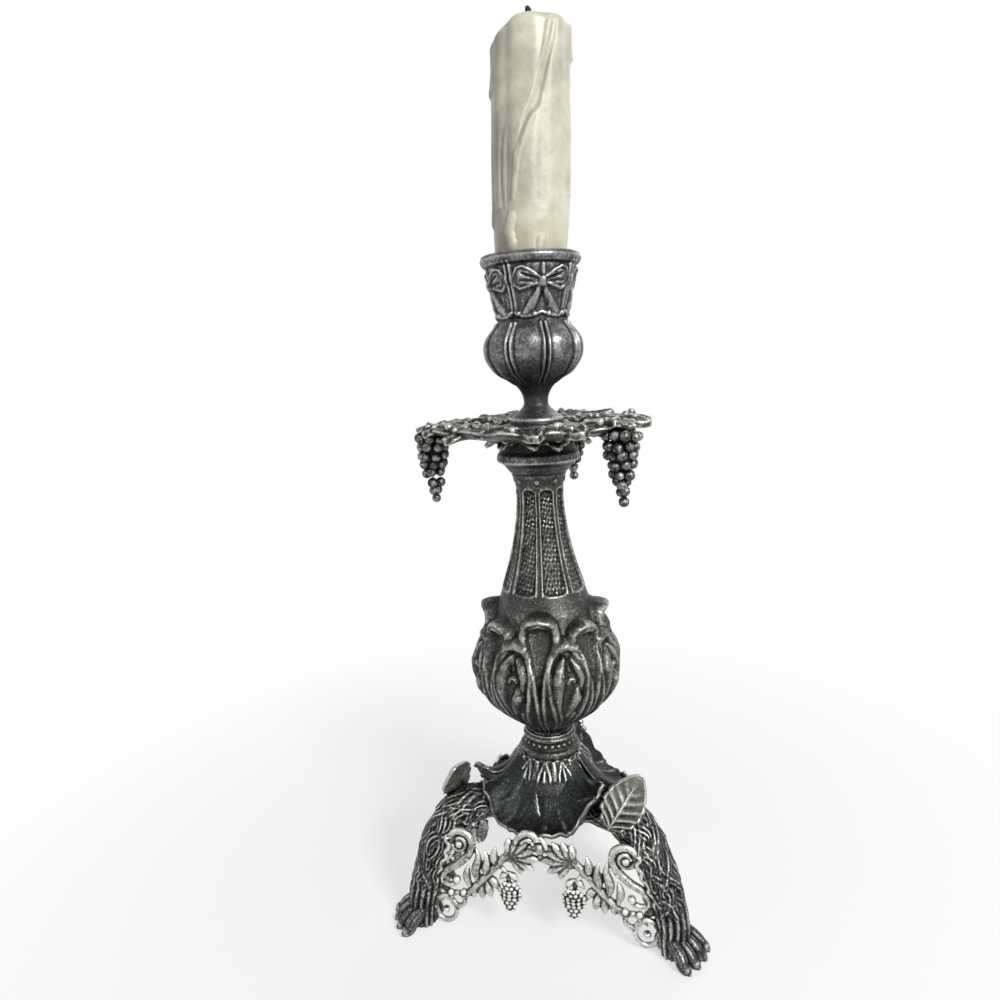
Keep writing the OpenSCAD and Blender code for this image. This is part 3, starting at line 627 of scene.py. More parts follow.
@dataclass(frozen=True)
class AntiquePewter:
    """Cast pewter, blackened and then polished back on what stands proud, with painted shade from ambient occlusion
    and painted glints.
    """

    name: str
    dark: Colour
    middle: Colour
    bright: Colour
    polish: float = 0.0
    pitting: float = 0.05
    # Width of the hollows, and of the gaps under nearby parts, that get painted shade from ambient occlusion
    hollow: float = 3.0

    def material(self) -> bpy.types.Material:
        """Returns the finish as a material."""
        recipe = Recipe(self.name)
        # Painted shade: ambient occlusion darkens hollows and whatever lies close under other parts
        painted_shade_ao = recipe.add("ShaderNodeAmbientOcclusion", {"samples": 8}, Distance=self.hollow * MM).outputs["AO"]
        cloud = recipe.noise(*CLOUD)
        grain = recipe.noise(*GRAIN)
        speck = recipe.noise(*SPECK)
        uneven = recipe.scaled(cloud, 0.5, -0.25)
        patchy = recipe.scaled(grain, 0.62, -0.31)
        unshaded_share = recipe.stretch(painted_shade_ao, 0.18, 0.88)
        rubbed = recipe.math("ADD", recipe.math("ADD", recipe.wear(), uneven), patchy)
        rubbed = recipe.math("ADD", rubbed, self.polish)
        # What is rubbed and outside the painted shade shows the middle colour, and what is rubbed most, and each
        # painted glint, the bright one
        shown = recipe.math("MULTIPLY", recipe.stretch(rubbed, 0.22, 0.72), unshaded_share)
        # Painted glints: bright specks of noise that stand in for specular highlights
        painted_glint = recipe.math("MULTIPLY", recipe.stretch(speck, 0.54, 0.7), recipe.stretch(rubbed, 0.3, 0.7))
        # Polish on what stands proud, held out of the painted shade, and the painted glints on top
        polish_and_painted_glint = recipe.math("MULTIPLY", recipe.stretch(rubbed, 0.58, 0.95), unshaded_share)
        polish_and_painted_glint = recipe.math("ADD", polish_and_painted_glint, recipe.math("MULTIPLY", painted_glint, 0.55), clamp=True)
        colour = recipe.mix(shown, self.dark, self.middle)
        colour = recipe.mix(polish_and_painted_glint, colour, self.bright)
        rough = recipe.scaled(polish_and_painted_glint, -0.12, 0.42)
        rough = recipe.math("ADD", rough, recipe.math("MULTIPLY", grain, 0.1))
        recipe.feed(recipe.shader, Base_Color=colour, Metallic=0.9, Roughness=rough)
        recipe.bumps((grain, self.pitting * 2), (speck, self.pitting))
        return recipe.material


@dataclass(frozen=True)
class OldWax:
    """Ivory wax that has been handled: cloudy, greyer in its hollows and glossy where it ran."""

    name: str = "old ivory wax"
    body: Colour = (0.55, 0.545, 0.44)
    grey: Colour = (0.34, 0.335, 0.27)
    warm: Colour = (0.50, 0.46, 0.31)
    # Heights, in metres, between which the foot turns warm
    warm_foot: Point2 = (0.212, 0.199)

    def material(self) -> bpy.types.Material:
        """Returns the finish as a material."""
        recipe = Recipe(self.name)
        cloud = recipe.noise(*WAX_CLOUD)
        fine = recipe.noise(*WAX_GRAIN)
        lumps = recipe.noise(*WAX_LUMPS)
        where = recipe.add("ShaderNodeTexCoord")
        height = recipe.add("ShaderNodeSeparateXYZ", Vector=where.outputs["Object"]).outputs[2]
        foot = recipe.stretch(height, *self.warm_foot)
        colour = recipe.mix(recipe.stretch(cloud, 0.42, 0.66), self.body, self.grey)
        colour = recipe.mix(recipe.math("MULTIPLY", foot, 0.7), colour, self.warm)
        # Greyer in the hollows
        colour = recipe.mix(recipe.stretch(recipe.wear(), 0.42, 0.12), colour, self.grey)
        rough = recipe.scaled(fine, 0.25, 0.32)
        recipe.feed(recipe.shader, Base_Color=colour, Roughness=rough, Coat_Weight=0.12, Coat_Roughness=0.25)
        glow = {"Subsurface_Weight": 0.25, "Subsurface_Radius": (1.0, 0.8, 0.45), "Subsurface_Scale": 0.004}
        recipe.feed(recipe.shader, **glow)
        recipe.bumps((lumps, 0.35), (fine, 0.08))
        return recipe.material


@dataclass(frozen=True)
class CharredCotton:
    """A wick's plaited cotton, burnt black."""

    name: str = "charred cotton"
    black: Colour = (0.012, 0.011, 0.010)
    ash: Colour = (0.10, 0.095, 0.09)

    def material(self) -> bpy.types.Material:
        """Returns the finish as a material."""
        recipe = Recipe(self.name)
        plait = recipe.noise(*PLAIT)
        colour = recipe.mix(recipe.stretch(plait, 0.55, 0.75), self.black, self.ash)
        recipe.feed(recipe.shader, Base_Color=colour, Roughness=0.92)
        recipe.bumps((plait, 0.15))
        return recipe.material


@dataclass(frozen=True)
class PlatedSteel:
    """Zinc-plated steel of a rod, washer or nut."""

    name: str = "zinc plated steel"
    bright: Colour = (0.52, 0.53, 0.54)
    dull: Colour = (0.30, 0.30, 0.31)

    def material(self) -> bpy.types.Material:
        """Returns the finish as a material."""
        recipe = Recipe(self.name)
        grain = recipe.noise(*STEEL_GRAIN)
        colour = recipe.mix(recipe.stretch(grain, 0.35, 0.7), self.bright, self.dull)
        rough = recipe.scaled(grain, 0.3, 0.22)
        recipe.feed(recipe.shader, Base_Color=colour, Metallic=1.0, Roughness=rough)
        recipe.bumps((grain, 0.03))
        return recipe.material


# Name, and the colours of hollows and painted shade, of flats, and of polished edges and painted glints
STEM_PEWTER = AntiquePewter(
    "antique pewter", (0.007, 0.009, 0.009), (0.078, 0.081, 0.076), (0.52, 0.52, 0.48)
)
GRAPE_PEWTER = AntiquePewter(
    "blackened grapes", (0.006, 0.007, 0.007), (0.036, 0.038, 0.036), (0.72, 0.72, 0.69), polish=-0.21
)
CUP_PEWTER = AntiquePewter(
    "smooth antique pewter", (0.010, 0.013, 0.013), (0.10, 0.104, 0.102), (0.46, 0.46, 0.45), polish=0.05, pitting=0.03
)
LEG_PEWTER = AntiquePewter(
    "blackened pewter", (0.005, 0.006, 0.006), (0.07, 0.074, 0.071), (0.62, 0.63, 0.6), polish=-0.03
)
VINE_PEWTER = AntiquePewter(
    "silvered pewter", (0.006, 0.007, 0.007), (0.15, 0.15, 0.145), (0.84, 0.83, 0.80), polish=0.07
)
LEAF_PEWTER = AntiquePewter(
    "dark leaf pewter", (0.006, 0.008, 0.008), (0.034, 0.038, 0.037), (0.34, 0.35, 0.33), polish=-0.06
)
PALE_PEWTER = AntiquePewter(
    "rubbed leaf pewter", (0.02, 0.022, 0.018), (0.24, 0.25, 0.21), (0.55, 0.56, 0.50), polish=0.06
)


Finish = AntiquePewter | OldWax | CharredCotton | PlatedSteel


class Finishes:
    """Makes each material once and hands it out."""

    def __init__(self) -> None:
        """Starts with no material made."""
        self.made: dict[str, bpy.types.Material] = {}

    def of(self, finish: Finish) -> bpy.types.Material:
        """Returns the material of a finish."""
        if finish.name not in self.made:
            self.made[finish.name] = finish.material()
        return self.made[finish.name]


FINISHES = Finishes()


def dress(
    piece: Object, finish: Finish, slot: Slot, node: str, body: Body = Body.HOLDER, reach: float = 0.8
) -> None:
    """Brings a piece to metres, gives it its finish, hangs it on its body and hides the CAD node that it replaces.

    Args:
        piece: the object, with its mesh in millimetres.
        finish: what it is made of.
        slot: the record's slot of that finish; not used.
        node: the CAD node that it replaces.
        body: the body that it rides on.
        reach: radius of the rounding that counts as fully worn.
    """
    mark_wear(piece.data, reach)
    piece.data.transform(Matrix.Scale(MM, 4))
    piece.data.shade_smooth()
    piece.data.materials.clear()
    piece.data.materials.append(FINISHES.of(finish))
    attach(piece, body.value)
    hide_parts(node)
    log.info("%s: %d faces on %s", piece.name, len(piece.data.polygons), body.value)


# The candle


@dataclass
class Candle:
    """A used taper: whittled at the rim, burnt down on its left, with a long groove and set drips."""

    radius: float = 10.9
    neck_r: float = 10.3
    foot_r: float = 8.3
    socket: float = 14.5
    whittle: float = 6.5
    shoulder: float = 2.6
    slope: float = 36.0
    sunk: float = 6.5
    wick_r: float = 0.9
    wick_set: float = 6.0
    lean: float = 2.7
    flats: int = 11
    drip_share: float = 0.62

    def __post_init__(self) -> None:
        """Takes the heights from the frame."""
        self.foot = low("candle")
        self.top = high("candle")
        self.rim = self.foot + self.socket

    def build(self) -> None:
        """Builds the wax and the wick."""
        dress(self.wax(), OldWax(), Slot.WAX, "candle", Body.CANDLE, 2.0)
        dress(self.wick(), CharredCotton(), Slot.WICK, "wick", Body.CANDLE, 1.0)

    def wax(self) -> Object:
        """Returns the wax body."""
        turns = [math.radians(a) for a in range(0, 91, 10)]
        round_off = [
            (self.radius - self.shoulder * (1 - math.cos(a)), self.top - self.shoulder * (1 - math.sin(a)))
            for a in turns
        ]
        wick_foot = self.top - self.wick_set
        profile = [
            (0.0, self.foot), (self.foot_r, self.foot), (self.neck_r, self.rim), (self.neck_r, self.rim + 2.5),
            (self.neck_r + 0.2, self.rim + self.whittle), (self.radius - 0.1, self.rim + self.whittle + 4),
            (self.radius, self.rim + self.whittle + 8), *round_off,
            (self.wick_r, self.top), (self.wick_r, wick_foot), (0.0, wick_foot),
        ]
        piece = new_object("candle_wax", spun(profile, 216, 0.5))
        raise_radially(piece, self.relief, self.wick_r)
        self.burn_down(piece)
        return piece

    def relief(self, angle: Array, height: Array, radius: Array) -> Array:
        """Gives the wax its flats, groove and drips.

        Args:
            angle: each vertex's angle round the axis, in degrees.
            height: its height.
            radius: its distance from the axis.

        Returns:
            The height of the relief at each vertex.
        """
        up = height - self.rim
        shown = eased(self.socket * -0.05, 1.0, up)
        wobble = 0.16 * np.sin(np.radians(3 * angle + 4 * up)) + 0.12 * np.sin(np.radians(5 * angle - 9 * up + 40))
        # Flats that a knife left over the rim
        _, off = sector(angle, -95, self.flats)
        flats = (radius * (1 / np.cos(np.radians(off)) - 1) - 0.25) * (1 - eased(4.5, 8.5, up))
        # Long flat faces on the left and right of the front
        face = np.zeros_like(up)
        for middle, depth in ((-118, 0.45), (-62, 0.35), (-150, 0.3), (-20, 0.3)):
            face -= depth * bell(wrapped(angle - middle), 9) * eased(8, 14, up)
        # Across from the front, up from the rim, half width and height of each drip or groove
        u = np.radians(wrapped(angle + 80)) * self.radius
        drips = [
            [(6.5, 58, 0.9, -0.5), (5.6, 52, 1.1, -0.9), (3.4, 45, 1.2, -1.0), (1.2, 36.5, 1.5, -1.4)],
            [(1.2, 36.5, 1.5, -1.4), (-1.2, 33, 0.9, -0.8), (-2.8, 28, 0.7, -0.5), (-4.2, 20, 0.6, -0.3)],
            [(5.0, 56, 0.8, 0.5), (4.0, 49, 0.9, 0.7), (2.2, 42, 0.9, 0.7), (0.2, 38, 0.8, 0.6)],
            [(0.6, 33.5, 0.8, 0.7), (-1.5, 29.5, 1.0, 0.9), (-3.6, 24.5, 0.9, 0.9), (-4.6, 14, 0.7, 0.6)],
            [(-7.2, 33, 0.4, 0.1), (-7.8, 26, 0.7, 0.6), (-7.6, 18, 0.8, 0.6), (-7.2, 12, 0.5, 0.3)],
            [(-5.2, 9, 1.4, 0.9), (-6.2, 5.5, 1.6, 1.3), (-5.4, 2.2, 1.5, 1.2), (-5.8, 0.2, 1.2, 0.8)],
            [(3.4, 2.8, 1.3, 0.7), (3.0, 0.4, 1.2, 0.8)],
            [(-13.4, 50, 0.9, 0.4), (-13.8, 45, 1.2, 1.0), (-13.6, 43.5, 1.4, 1.2)],
            [(-9.6, 30, 0.6, 0.3), (-9.8, 20, 0.8, 0.6), (-9.4, 12, 0.6, 0.5)],
            [(-14.6, 14, 0.7, 0.4), (-14.8, 9.5, 1.1, 0.9), (-14.7, 8.5, 1.2, 0.9)],
            [(14.5, 58, 0.7, 0.5), (14.8, 52, 0.9, 0.8), (15.0, 49.5, 1.2, 1.1)],
            [(14.0, 34, 0.6, 0.4), (14.3, 20, 0.7, 0.6), (14.2, 15, 1.0, 0.8)],
            [(-17.5, 47, 0.7, 0.3), (-17.8, 44, 1.0, 0.9), (-17.6, 42.6, 1.3, 1.1)],
            [(-26, 57, 1.0, 0.6), (-26.5, 40, 1.0, 0.9), (-26.2, 24, 1.2, 1.0), (-26.3, 21, 1.5, 1.3)],
            [(24, 56, 0.8, 0.6), (24.6, 47, 1.0, 0.8), (24.4, 41, 1.3, 1.1)],
            [(30, 50, 0.8, 0.5), (30.2, 33, 0.9, 0.8), (30.0, 28, 1.2, 1.1)],
        ]
        drips_up = self.drip_share * ridges(u, up, drips)
        return shown * (wobble + face + drips_up) - np.where(up > -1, np.maximum(-flats, 0), 0) * shown

    def burn_down(self, piece: Object) -> None:
        """Lowers the burnt side of the top to its slope and lets the shown part lean.

        Args:
            piece: the wax, upright and with a level top.
        """
        co = places_of(piece.data)
        rise = math.tan(math.radians(self.slope))
        limit = self.top - self.sunk + rise * (co[:, 0] + self.radius)
        limit = limit - 0.2 * np.sin(co[:, 1] * 0.45) * eased(0, 3, self.top - limit)
        over = np.maximum(co[:, 2] - limit, 0)
        from_wick = np.hypot(co[:, 0], co[:, 1])
        co[:, 2] -= over * eased(self.wick_r, self.wick_r + 0.6, from_wick)
        # A wavy shoulder round the rest of the top
        angle = np.arctan2(co[:, 1], co[:, 0])
        near_top = eased(self.top - 6, self.top, co[:, 2]) * eased(3, 9, from_wick)
        front = np.maximum(0, np.cos(angle + math.radians(88)))
        co[:, 2] -= near_top * (0.6 + 0.3 * np.sin(2 * angle + 1.2) + 0.12 * np.sin(5 * angle) + 0.7 * front)
        above = np.maximum(co[:, 2] - self.rim + 1.5, 0)
        co[:, 0] += math.tan(math.radians(self.lean)) * above
        move_to(piece.data, co)

    def wick(self) -> Object:
        """Returns the bent, charred wick."""
        start = self.top - self.wick_set + 0.4
        x = math.tan(math.radians(self.lean)) * (self.top - self.rim)
        run = [
            (x - 0.25, 0, start, 0.62), (x, 0, self.top - 0.4, 0.66), (x - 0.15, -0.1, self.top + 1.4, 0.72),
            (x - 0.5, -0.3, self.top + 2.9, 0.85), (x - 0.9, -0.4, self.top + 3.6, 0.7),
            (x - 1.2, -0.4, self.top + 3.8, 0.3),
        ]
        return tubes("candle_wick", [run], 0.2)


# Cup, pan and bunches


@dataclass
class TurnedPart:
    """A casting turned about the stem's axis over a bore, with a relief of its own."""

    node: str = ""
    finish: AntiquePewter = STEM_PEWTER
    slot: Slot = Slot.PEWTER
    worn_r: float = 0.8
    radius: float = 10.0
    bore_r: float = 2.3
    steps: int = 264
    curve_step: float = 0.35
    row_step: float = 0.4
    # Along the outside, from the foot up: shares of the radius and of the node's height
    profile_shares: tuple[Point2, ...] = ()

    def __post_init__(self) -> None:
        """Takes the heights from the frame."""
        self.foot = low(self.node)
        self.tall = high(self.node) - self.foot

    def build(self) -> None:
        """Builds the casting."""
        piece = new_object(f"{self.node}_casting", spun(self.profile(), self.steps, self.row_step))
        raise_radially(piece, self.relief, self.bore_r)
        dress(piece, self.finish, self.slot, self.node, reach=self.worn_r)

    def outside(self) -> list[Point2]:
        """Returns the smooth outside profile."""
        places = [(self.radius * r, self.foot + self.tall * z) for r, z in self.profile_shares]
        return [(float(p[0]), float(p[1])) for p in curve_through(places, self.curve_step)]

    def profile(self) -> list[Point2]:
        """Returns the outside profile, closed along the bore."""
        return with_bore(self.outside(), self.bore_r)

    def relief(self, angle: Array, height: Array, radius: Array) -> Array:
        """Draws the relief, which each kind of part has of its own.

        Args:
            angle: each vertex's angle round the axis, in degrees.
            height: its height.
            radius: its distance from the axis.

        Returns:
            The height of the relief at each vertex.
        """
        raise NotImplementedError


@dataclass
class CandleCup(TurnedPart):
    """The tulip cup: a lip, bow panels, beaded swags and eight lobes between double straps."""

    node: str = "candle_cup"
    finish: AntiquePewter = CUP_PEWTER
    radius: float = 14.0
    # The thread's bore, from the foot up
    bore_r: float = 2.05
    thread: float = 9.0
    wall: float = 1.6
    floor_r: float = 8.6
    socket: float = 14.5
    lobes: int = 8
    bows: int = 4
    turn: float = -64.7
    # Heights over the foot: where the lobes start and end, the line over them, and the ring under the lip
    lobe_foot: Point2 = (11.5, 14.5)
    lobe_head: Point2 = (26.5, 29.0)
    line_up: float = 29.2
    ring_up: float = 43.9
    profile_shares: tuple[Point2, ...] = (
        (0.56, 0), (0.56, 0.03), (0.49, 0.05), (0.36, 0.08), (0.262, 0.115), (0.262, 0.155), (0.3, 0.19),
        (0.386, 0.228), (0.53, 0.265), (0.75, 0.3), (0.88, 0.345), (0.985, 0.4), (1.01, 0.455), (0.985, 0.51),
        (0.88, 0.56), (0.76, 0.6), (0.69, 0.64), (0.75, 0.76), (0.88, 0.89), (0.94, 0.94), (0.985, 0.965), (1, 1),
    )

    def profile(self) -> list[Point2]:
        """Returns the outside profile, closed along the socket and the thread's bore."""
        top = self.foot + self.tall
        mouth = self.radius - self.wall
        floor = top - self.socket
        socket = [(mouth + 0.5, top + 0.05), (mouth, top - 0.4), (self.floor_r, floor), (self.bore_r, floor)]
        bore_top = self.foot + self.thread
        bore = [(0.0, bore_top), (self.bore_r, bore_top), (self.bore_r, self.foot)]
        return [*bore, *self.outside(), *socket, (0.0, floor)]

    def bow(self) -> list[Stroke]:
        """Returns the strokes of one bow: (across, up from the cup's foot, half width, height)."""
        knot = [(0, 39.4, 1.15, 1.7), (0, 38.2, 1.15, 1.7)]
        bar = [(0.2, 43.4, 0.5, 0.45), (0.2, 41.0, 0.6, 0.7)]
        wing = [(0.9, 39.0, 0.9, 0.9), (3.2, 39.7, 1.7, 1.15), (5.6, 40.2, 2.4, 1.1), (6.6, 40.3, 2.3, 0.8)]
        loop = [
            (0.8, 39.9, 0.5, 0.9), (3.2, 41.7, 0.5, 1.0), (5.6, 42.9, 0.5, 1.0), (7.2, 42.5, 0.5, 0.9),
            (7.8, 40.4, 0.5, 0.9), (7.3, 38.2, 0.5, 0.9), (5.8, 37.2, 0.5, 0.9), (3.2, 37.9, 0.5, 0.9),
            (0.8, 38.6, 0.5, 0.9),
        ]
        crease = [(1.2, 39.5, 0.4, -0.7), (3.4, 40.3, 0.45, -0.8), (5.6, 41.2, 0.3, -0.6)]
        lower_crease = [(1.2, 38.9, 0.35, -0.6), (3.8, 39.2, 0.4, -0.8), (6.0, 39.3, 0.3, -0.6)]
        tail = [(0.5, 37.9, 0.7, 1.1), (1.5, 35.4, 1.1, 1.3), (2.9, 32.8, 1.4, 1.3), (4.3, 30.9, 1.0, 0.9)]
        swag = [(0.0, 31.2, 0.6, 0.7), (2.4, 30.2, 0.6, 0.8), (5.2, 30.2, 0.6, 0.8), (8.0, 31.6, 0.5, 0.5)]
        beads = [[(x, z, r, r * 1.2), (x, z + 0.01, r, r * 1.2)] for x, z, r in ((1.9, 30.6, 0.95), (6.4, 30.8, 0.9))]
        return [knot, bar, *mirrored([wing, loop, crease, lower_crease, tail, swag, *beads])]

    def relief(self, angle: Array, height: Array, radius: Array) -> Array:
        """Gives the cup its bows, panel ridges, lobes and straps.

        Args:
            angle: each vertex's angle round the axis, in degrees.
            height: its height.
            radius: its distance from the axis.

        Returns:
            The height of the relief at each vertex.
        """
        up = height - self.foot
        inner = self.floor_r + (self.radius - self.wall - self.floor_r) * (up - self.tall + self.socket) / self.socket
        outside = radius > np.maximum(inner, 0) + 0.6
        in_belt = eased(*self.lobe_foot, up) * (1 - eased(*self.lobe_head, up))
        _, off = sector(angle, self.turn, self.lobes)
        share = np.abs(off) / (180 / self.lobes)
        lobe = in_belt * (1.25 * np.sin(np.pi / 2 * np.clip(share, 0, 1)) ** 0.7 - 1.1)
        u = np.radians(off) * radius
        half_strap = [(0.62, 11.5, 0.35, 0.5), (0.66, 16, 0.5, 1.2), (0.7, 22, 0.52, 1.35), (0.62, 28.5, 0.45, 0.8)]
        strap = ridges(np.abs(u), up, [half_strap])
        seam = ridges(u, up, [[(0, 12, 0.4, -0.2), (0, 20, 0.5, -0.5), (0, 28, 0.4, -0.3)]])
        _, off_bow = sector(angle, self.turn, self.bows)
        bow = ridges(np.radians(off_bow) * radius, up, self.bow())
        from_edge = np.abs(across(angle, radius, self.turn + 180 / self.bows, self.bows))
        half_edge = [(0.55, 31, 0.4, 0.5), (0.6, 38, 0.45, 0.85), (0.7, 44.5, 0.45, 0.7)]
        edge_ridge = ridges(from_edge, up, [half_edge])
        ring = 0.5 * (eased(self.ring_up, 44.5, up) - eased(46.0, 46.8, up))
        ring += 0.3 * bell(up - self.line_up, 0.45) - 0.25 * bell(up - self.ring_up, 0.4)
        # Short upright folds between the bow's loops and the panel's edges
        folds = 0.07 * np.sin(np.radians(off_bow) * 34) * eased(31.5, 34, up) * (1 - eased(42.5, 44.5, up))
        relief = lobe + strap + seam + bow + edge_ridge + ring + folds
        return np.where(outside | (up < self.tall - self.socket - 2), relief, 0) * eased(10.5, 12.0, up)


def vine_leaf(size: float, cup: float, droop: float, thickness: float) -> BMesh:
    """Makes a five-lobed vine leaf, pointing along +X from its stalk at the origin.

    Args:
        size: distance from the leaf's middle to its tip.
        cup: how far the lobes lift over the middle.
        droop: how far the tip bends down.
        thickness: thickness of the casting.

    Returns:
        A closed leaf.
    """
    rings = 13
    bm = revolved([(i / rings, 0) for i in range(rings + 1)], 72, WELD / 10)
    # Direction of each lobe and its length as a share of the longest
    lobes = ((0.0, 1.0), (62.0, 0.86), (-62.0, 0.86), (124.0, 0.62), (-124.0, 0.62))
    notch = 162
    for vert in bm.verts:
        share = vert.co.length
        angle = math.degrees(math.atan2(vert.co.y, vert.co.x))
        outline = 0.5
        vein = 0.0
        for lobe, length in lobes:
            off = wrapped(angle - lobe)
            outline = max(outline, length * math.exp(-((off / 27) ** 2)))
            beside = share * size * math.sin(math.radians(off)) if abs(off) < 90 else 9.0
            vein = max(vein, math.exp(-((beside / 0.55) ** 2)))
        if abs(angle) > notch:
            outline *= 0.45 + 0.55 * (180 - abs(angle)) / (180 - notch)
        outline += 0.035 * math.sin(math.radians(angle * 15)) * share
        x, y, _ = polar(size * outline * share, math.radians(angle), 0)
        ruffle = 0.05 * size * share**3 * math.sin(math.radians(angle * 5))
        z = cup * share**2 - droop * max(0.0, x / size) ** 2 + ruffle + 0.5 * vein * min(1.0, share * 3)
        vert.co = (x + 0.45 * size, y, z)
    return thickened(bm, thickness)


@dataclass
class DripPan:
    """The drip pan: overlapping vine leaves, tendrils and berries on a wavy dish."""

    radius: float = 33.0
    bore_r: float = 2.3
    flat_share: float = 0.42
    leaf_out: float = 15.4
    seed: int = 11
    # Each leaf: direction, twist, size, lift over the deck, droop of the tip
    leaves: tuple[tuple[float, float, float, float, float], ...] = (
        (-88, 12, 12.8, 1.2, 3.8), (-52, -16, 12.4, 0.9, 3.2), (-16, 8, 12.9, 1.4, 2.9), (20, -12, 12.9, 0.9, 2.6),
        (56, 14, 12.2, 1.5, 2.4), (92, -8, 12.8, 0.9, 1.6), (128, 10, 12.4, 1.6, 2.2), (164, -14, 12.8, 0.9, 2.4),
        (200, 6, 12.9, 1.3, 3.6), (236, -10, 12.6, 0.9, 4.2),
    )
    under_leaves: int = 9
    berry_count: int = 95
    skin: float = 0.36
    rise: float = 3.0
    rise_from: float = 14.5
    rise_over: float = 20.0

    def __post_init__(self) -> None:
        """Takes the heights from the frame."""
        self.foot = low("drip_pan")
        self.deck = high("grape_bunch_1") - 1.3
        self.top = low("candle_cup")

    def build(self) -> None:
        """Builds the pan and its leaves as one casting."""
        parts = [self.dish(), *self.leafage(), self.tendrils(), self.berries(), self.pads()]
        piece = joined("drip_pan_casting", parts)
        fused(piece, self.skin, 1)
        dress(piece, STEM_PEWTER, Slot.PEWTER, "drip_pan")

    def dish(self) -> Object:
        """Returns the dish under the leaves, with a wavy edge."""
        deck = self.deck
        outside = [
            (9.4, self.foot), (10.6, self.foot + 1.0), (14.0, deck - 1.9), (22.0, deck - 1.7),
            (self.radius * 0.88, deck - 1.5), (self.radius * 0.93, deck - 0.5), (self.radius * 0.89, deck + 0.5),
            (20.0, deck + 0.2), (12.0, self.top - 0.7), (8.6, self.top),
        ]
        bm = spun(with_bore(outside, self.bore_r), 200, 0.9)
        for vert in bm.verts:
            angle = math.atan2(vert.co.y, vert.co.x)
            reach = math.hypot(vert.co.x, vert.co.y) / self.radius
            out = reach - self.flat_share
            if out > 0:
                wave = 1 + 0.07 * out * math.cos(15 * angle) + 0.05 * out * math.sin(7 * angle)
                vert.co.x *= wave
                vert.co.y *= wave
                vert.co.z += out * (0.9 * math.cos(15 * angle) + 0.7 * math.cos(3 * angle))
                vert.co.z += self.risen(self.radius * reach)
        return new_object("dish", bm)

    def risen(self, radius: float) -> float:
        """Returns how far the pan has risen at a distance from its axis."""
        return self.rise * max(0.0, radius - self.rise_from) / self.rise_over

    def leafage(self) -> list[Object]:
        """Returns the leaves that overlap round the pan."""
        parts = []
        for angle, twist, size, lift, droop in self.leaves:
            bm = vine_leaf(size, 1.2, droop, 2.1)
            out = Matrix.Translation((self.leaf_out, 0, self.deck + lift))
            lean = Matrix.Rotation(-math.atan(self.rise / self.rise_over), 4, "Y")
            bm.transform(turn_by(angle) @ out @ lean @ turn_by(twist))
            parts.append(new_object("leaf", bm))
        # Small leaves under the pan droop over the head of the stem
        for k in range(self.under_leaves):
            bm = vine_leaf(5.2, 0.8, 3.4, 1.5)
            out = Matrix.Translation((9.2, 0, self.deck - 1.3 - 0.5 * (k % 2)))
            bm.transform(turn_by(360 // self.under_leaves * k - 92) @ out @ turn_by(18 - 36 * (k % 2)))
            parts.append(new_object("leaf", bm))
        return parts

    def tendrils(self) -> Object:
        """Returns the stalks and tendrils that wander between the leaves."""
        rng = random.Random(self.seed + 1)
        runs = []
        for i in range(6):
            start = math.radians(60 * i + rng.uniform(-8, 8))
            swing = rng.choice((-1, 1)) * rng.uniform(0.3, 0.75)
            run = []
            for k in range(6):
                share = k / 5
                r = 12 + 17.5 * share
                a = start + swing * math.sin(share * 3.2)
                z = self.deck + self.risen(r) + 1.3 + 0.6 * math.sin(share * 7 + i)
                run.append((*polar(r, a, z - 0.5), 1.0 - 0.35 * share))
            runs.append(run)
        return tubes("tendrils", runs, 0.8)

    def berries(self) -> Object:
        """Returns small berries in the gaps of the leaves."""
        rng = random.Random(self.seed + 2)
        bm = bmesh.new()
        for _ in range(self.berry_count):
            angle = rng.uniform(0, math.tau)
            r = rng.uniform(20, 31)
            z = self.deck + self.risen(r) + rng.choice((-1.4, 0.6, 1.4))
            ball(bm, polar(r, angle, z), rng.uniform(0.9, 1.4))
        return new_object("berries", bm)

    def pads(self) -> Object:
        """Returns the pads that the bunches hang from, each with a leaf over it."""
        bm = bmesh.new()
        parts = []
        for number in (1, 2, 3):
            first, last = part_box(f"grape_bunch_{number}")
            x = (first.x + last.x) / 2 / MM
            y = (first.y + last.y) / 2 / MM
            top = last.z / MM
            place = Matrix.Translation((x, y, top + 0.9))
            bmesh.ops.create_cone(bm, cap_ends=True, segments=32, radius1=2.6, radius2=3.0, depth=1.8, matrix=place)
            leaf = vine_leaf(5.8, 0.7, 1.7, 1.7)
            turn = Matrix.Rotation(math.atan2(y, x), 4, "Z")
            leaf.transform(Matrix.Translation((x, y, top + 1.9)) @ turn @ Matrix.Translation((-3.6, 0, 0)))
            parts.append(new_object("leaf", leaf))
        return joined("pads", [new_object("cones", bm), *parts])


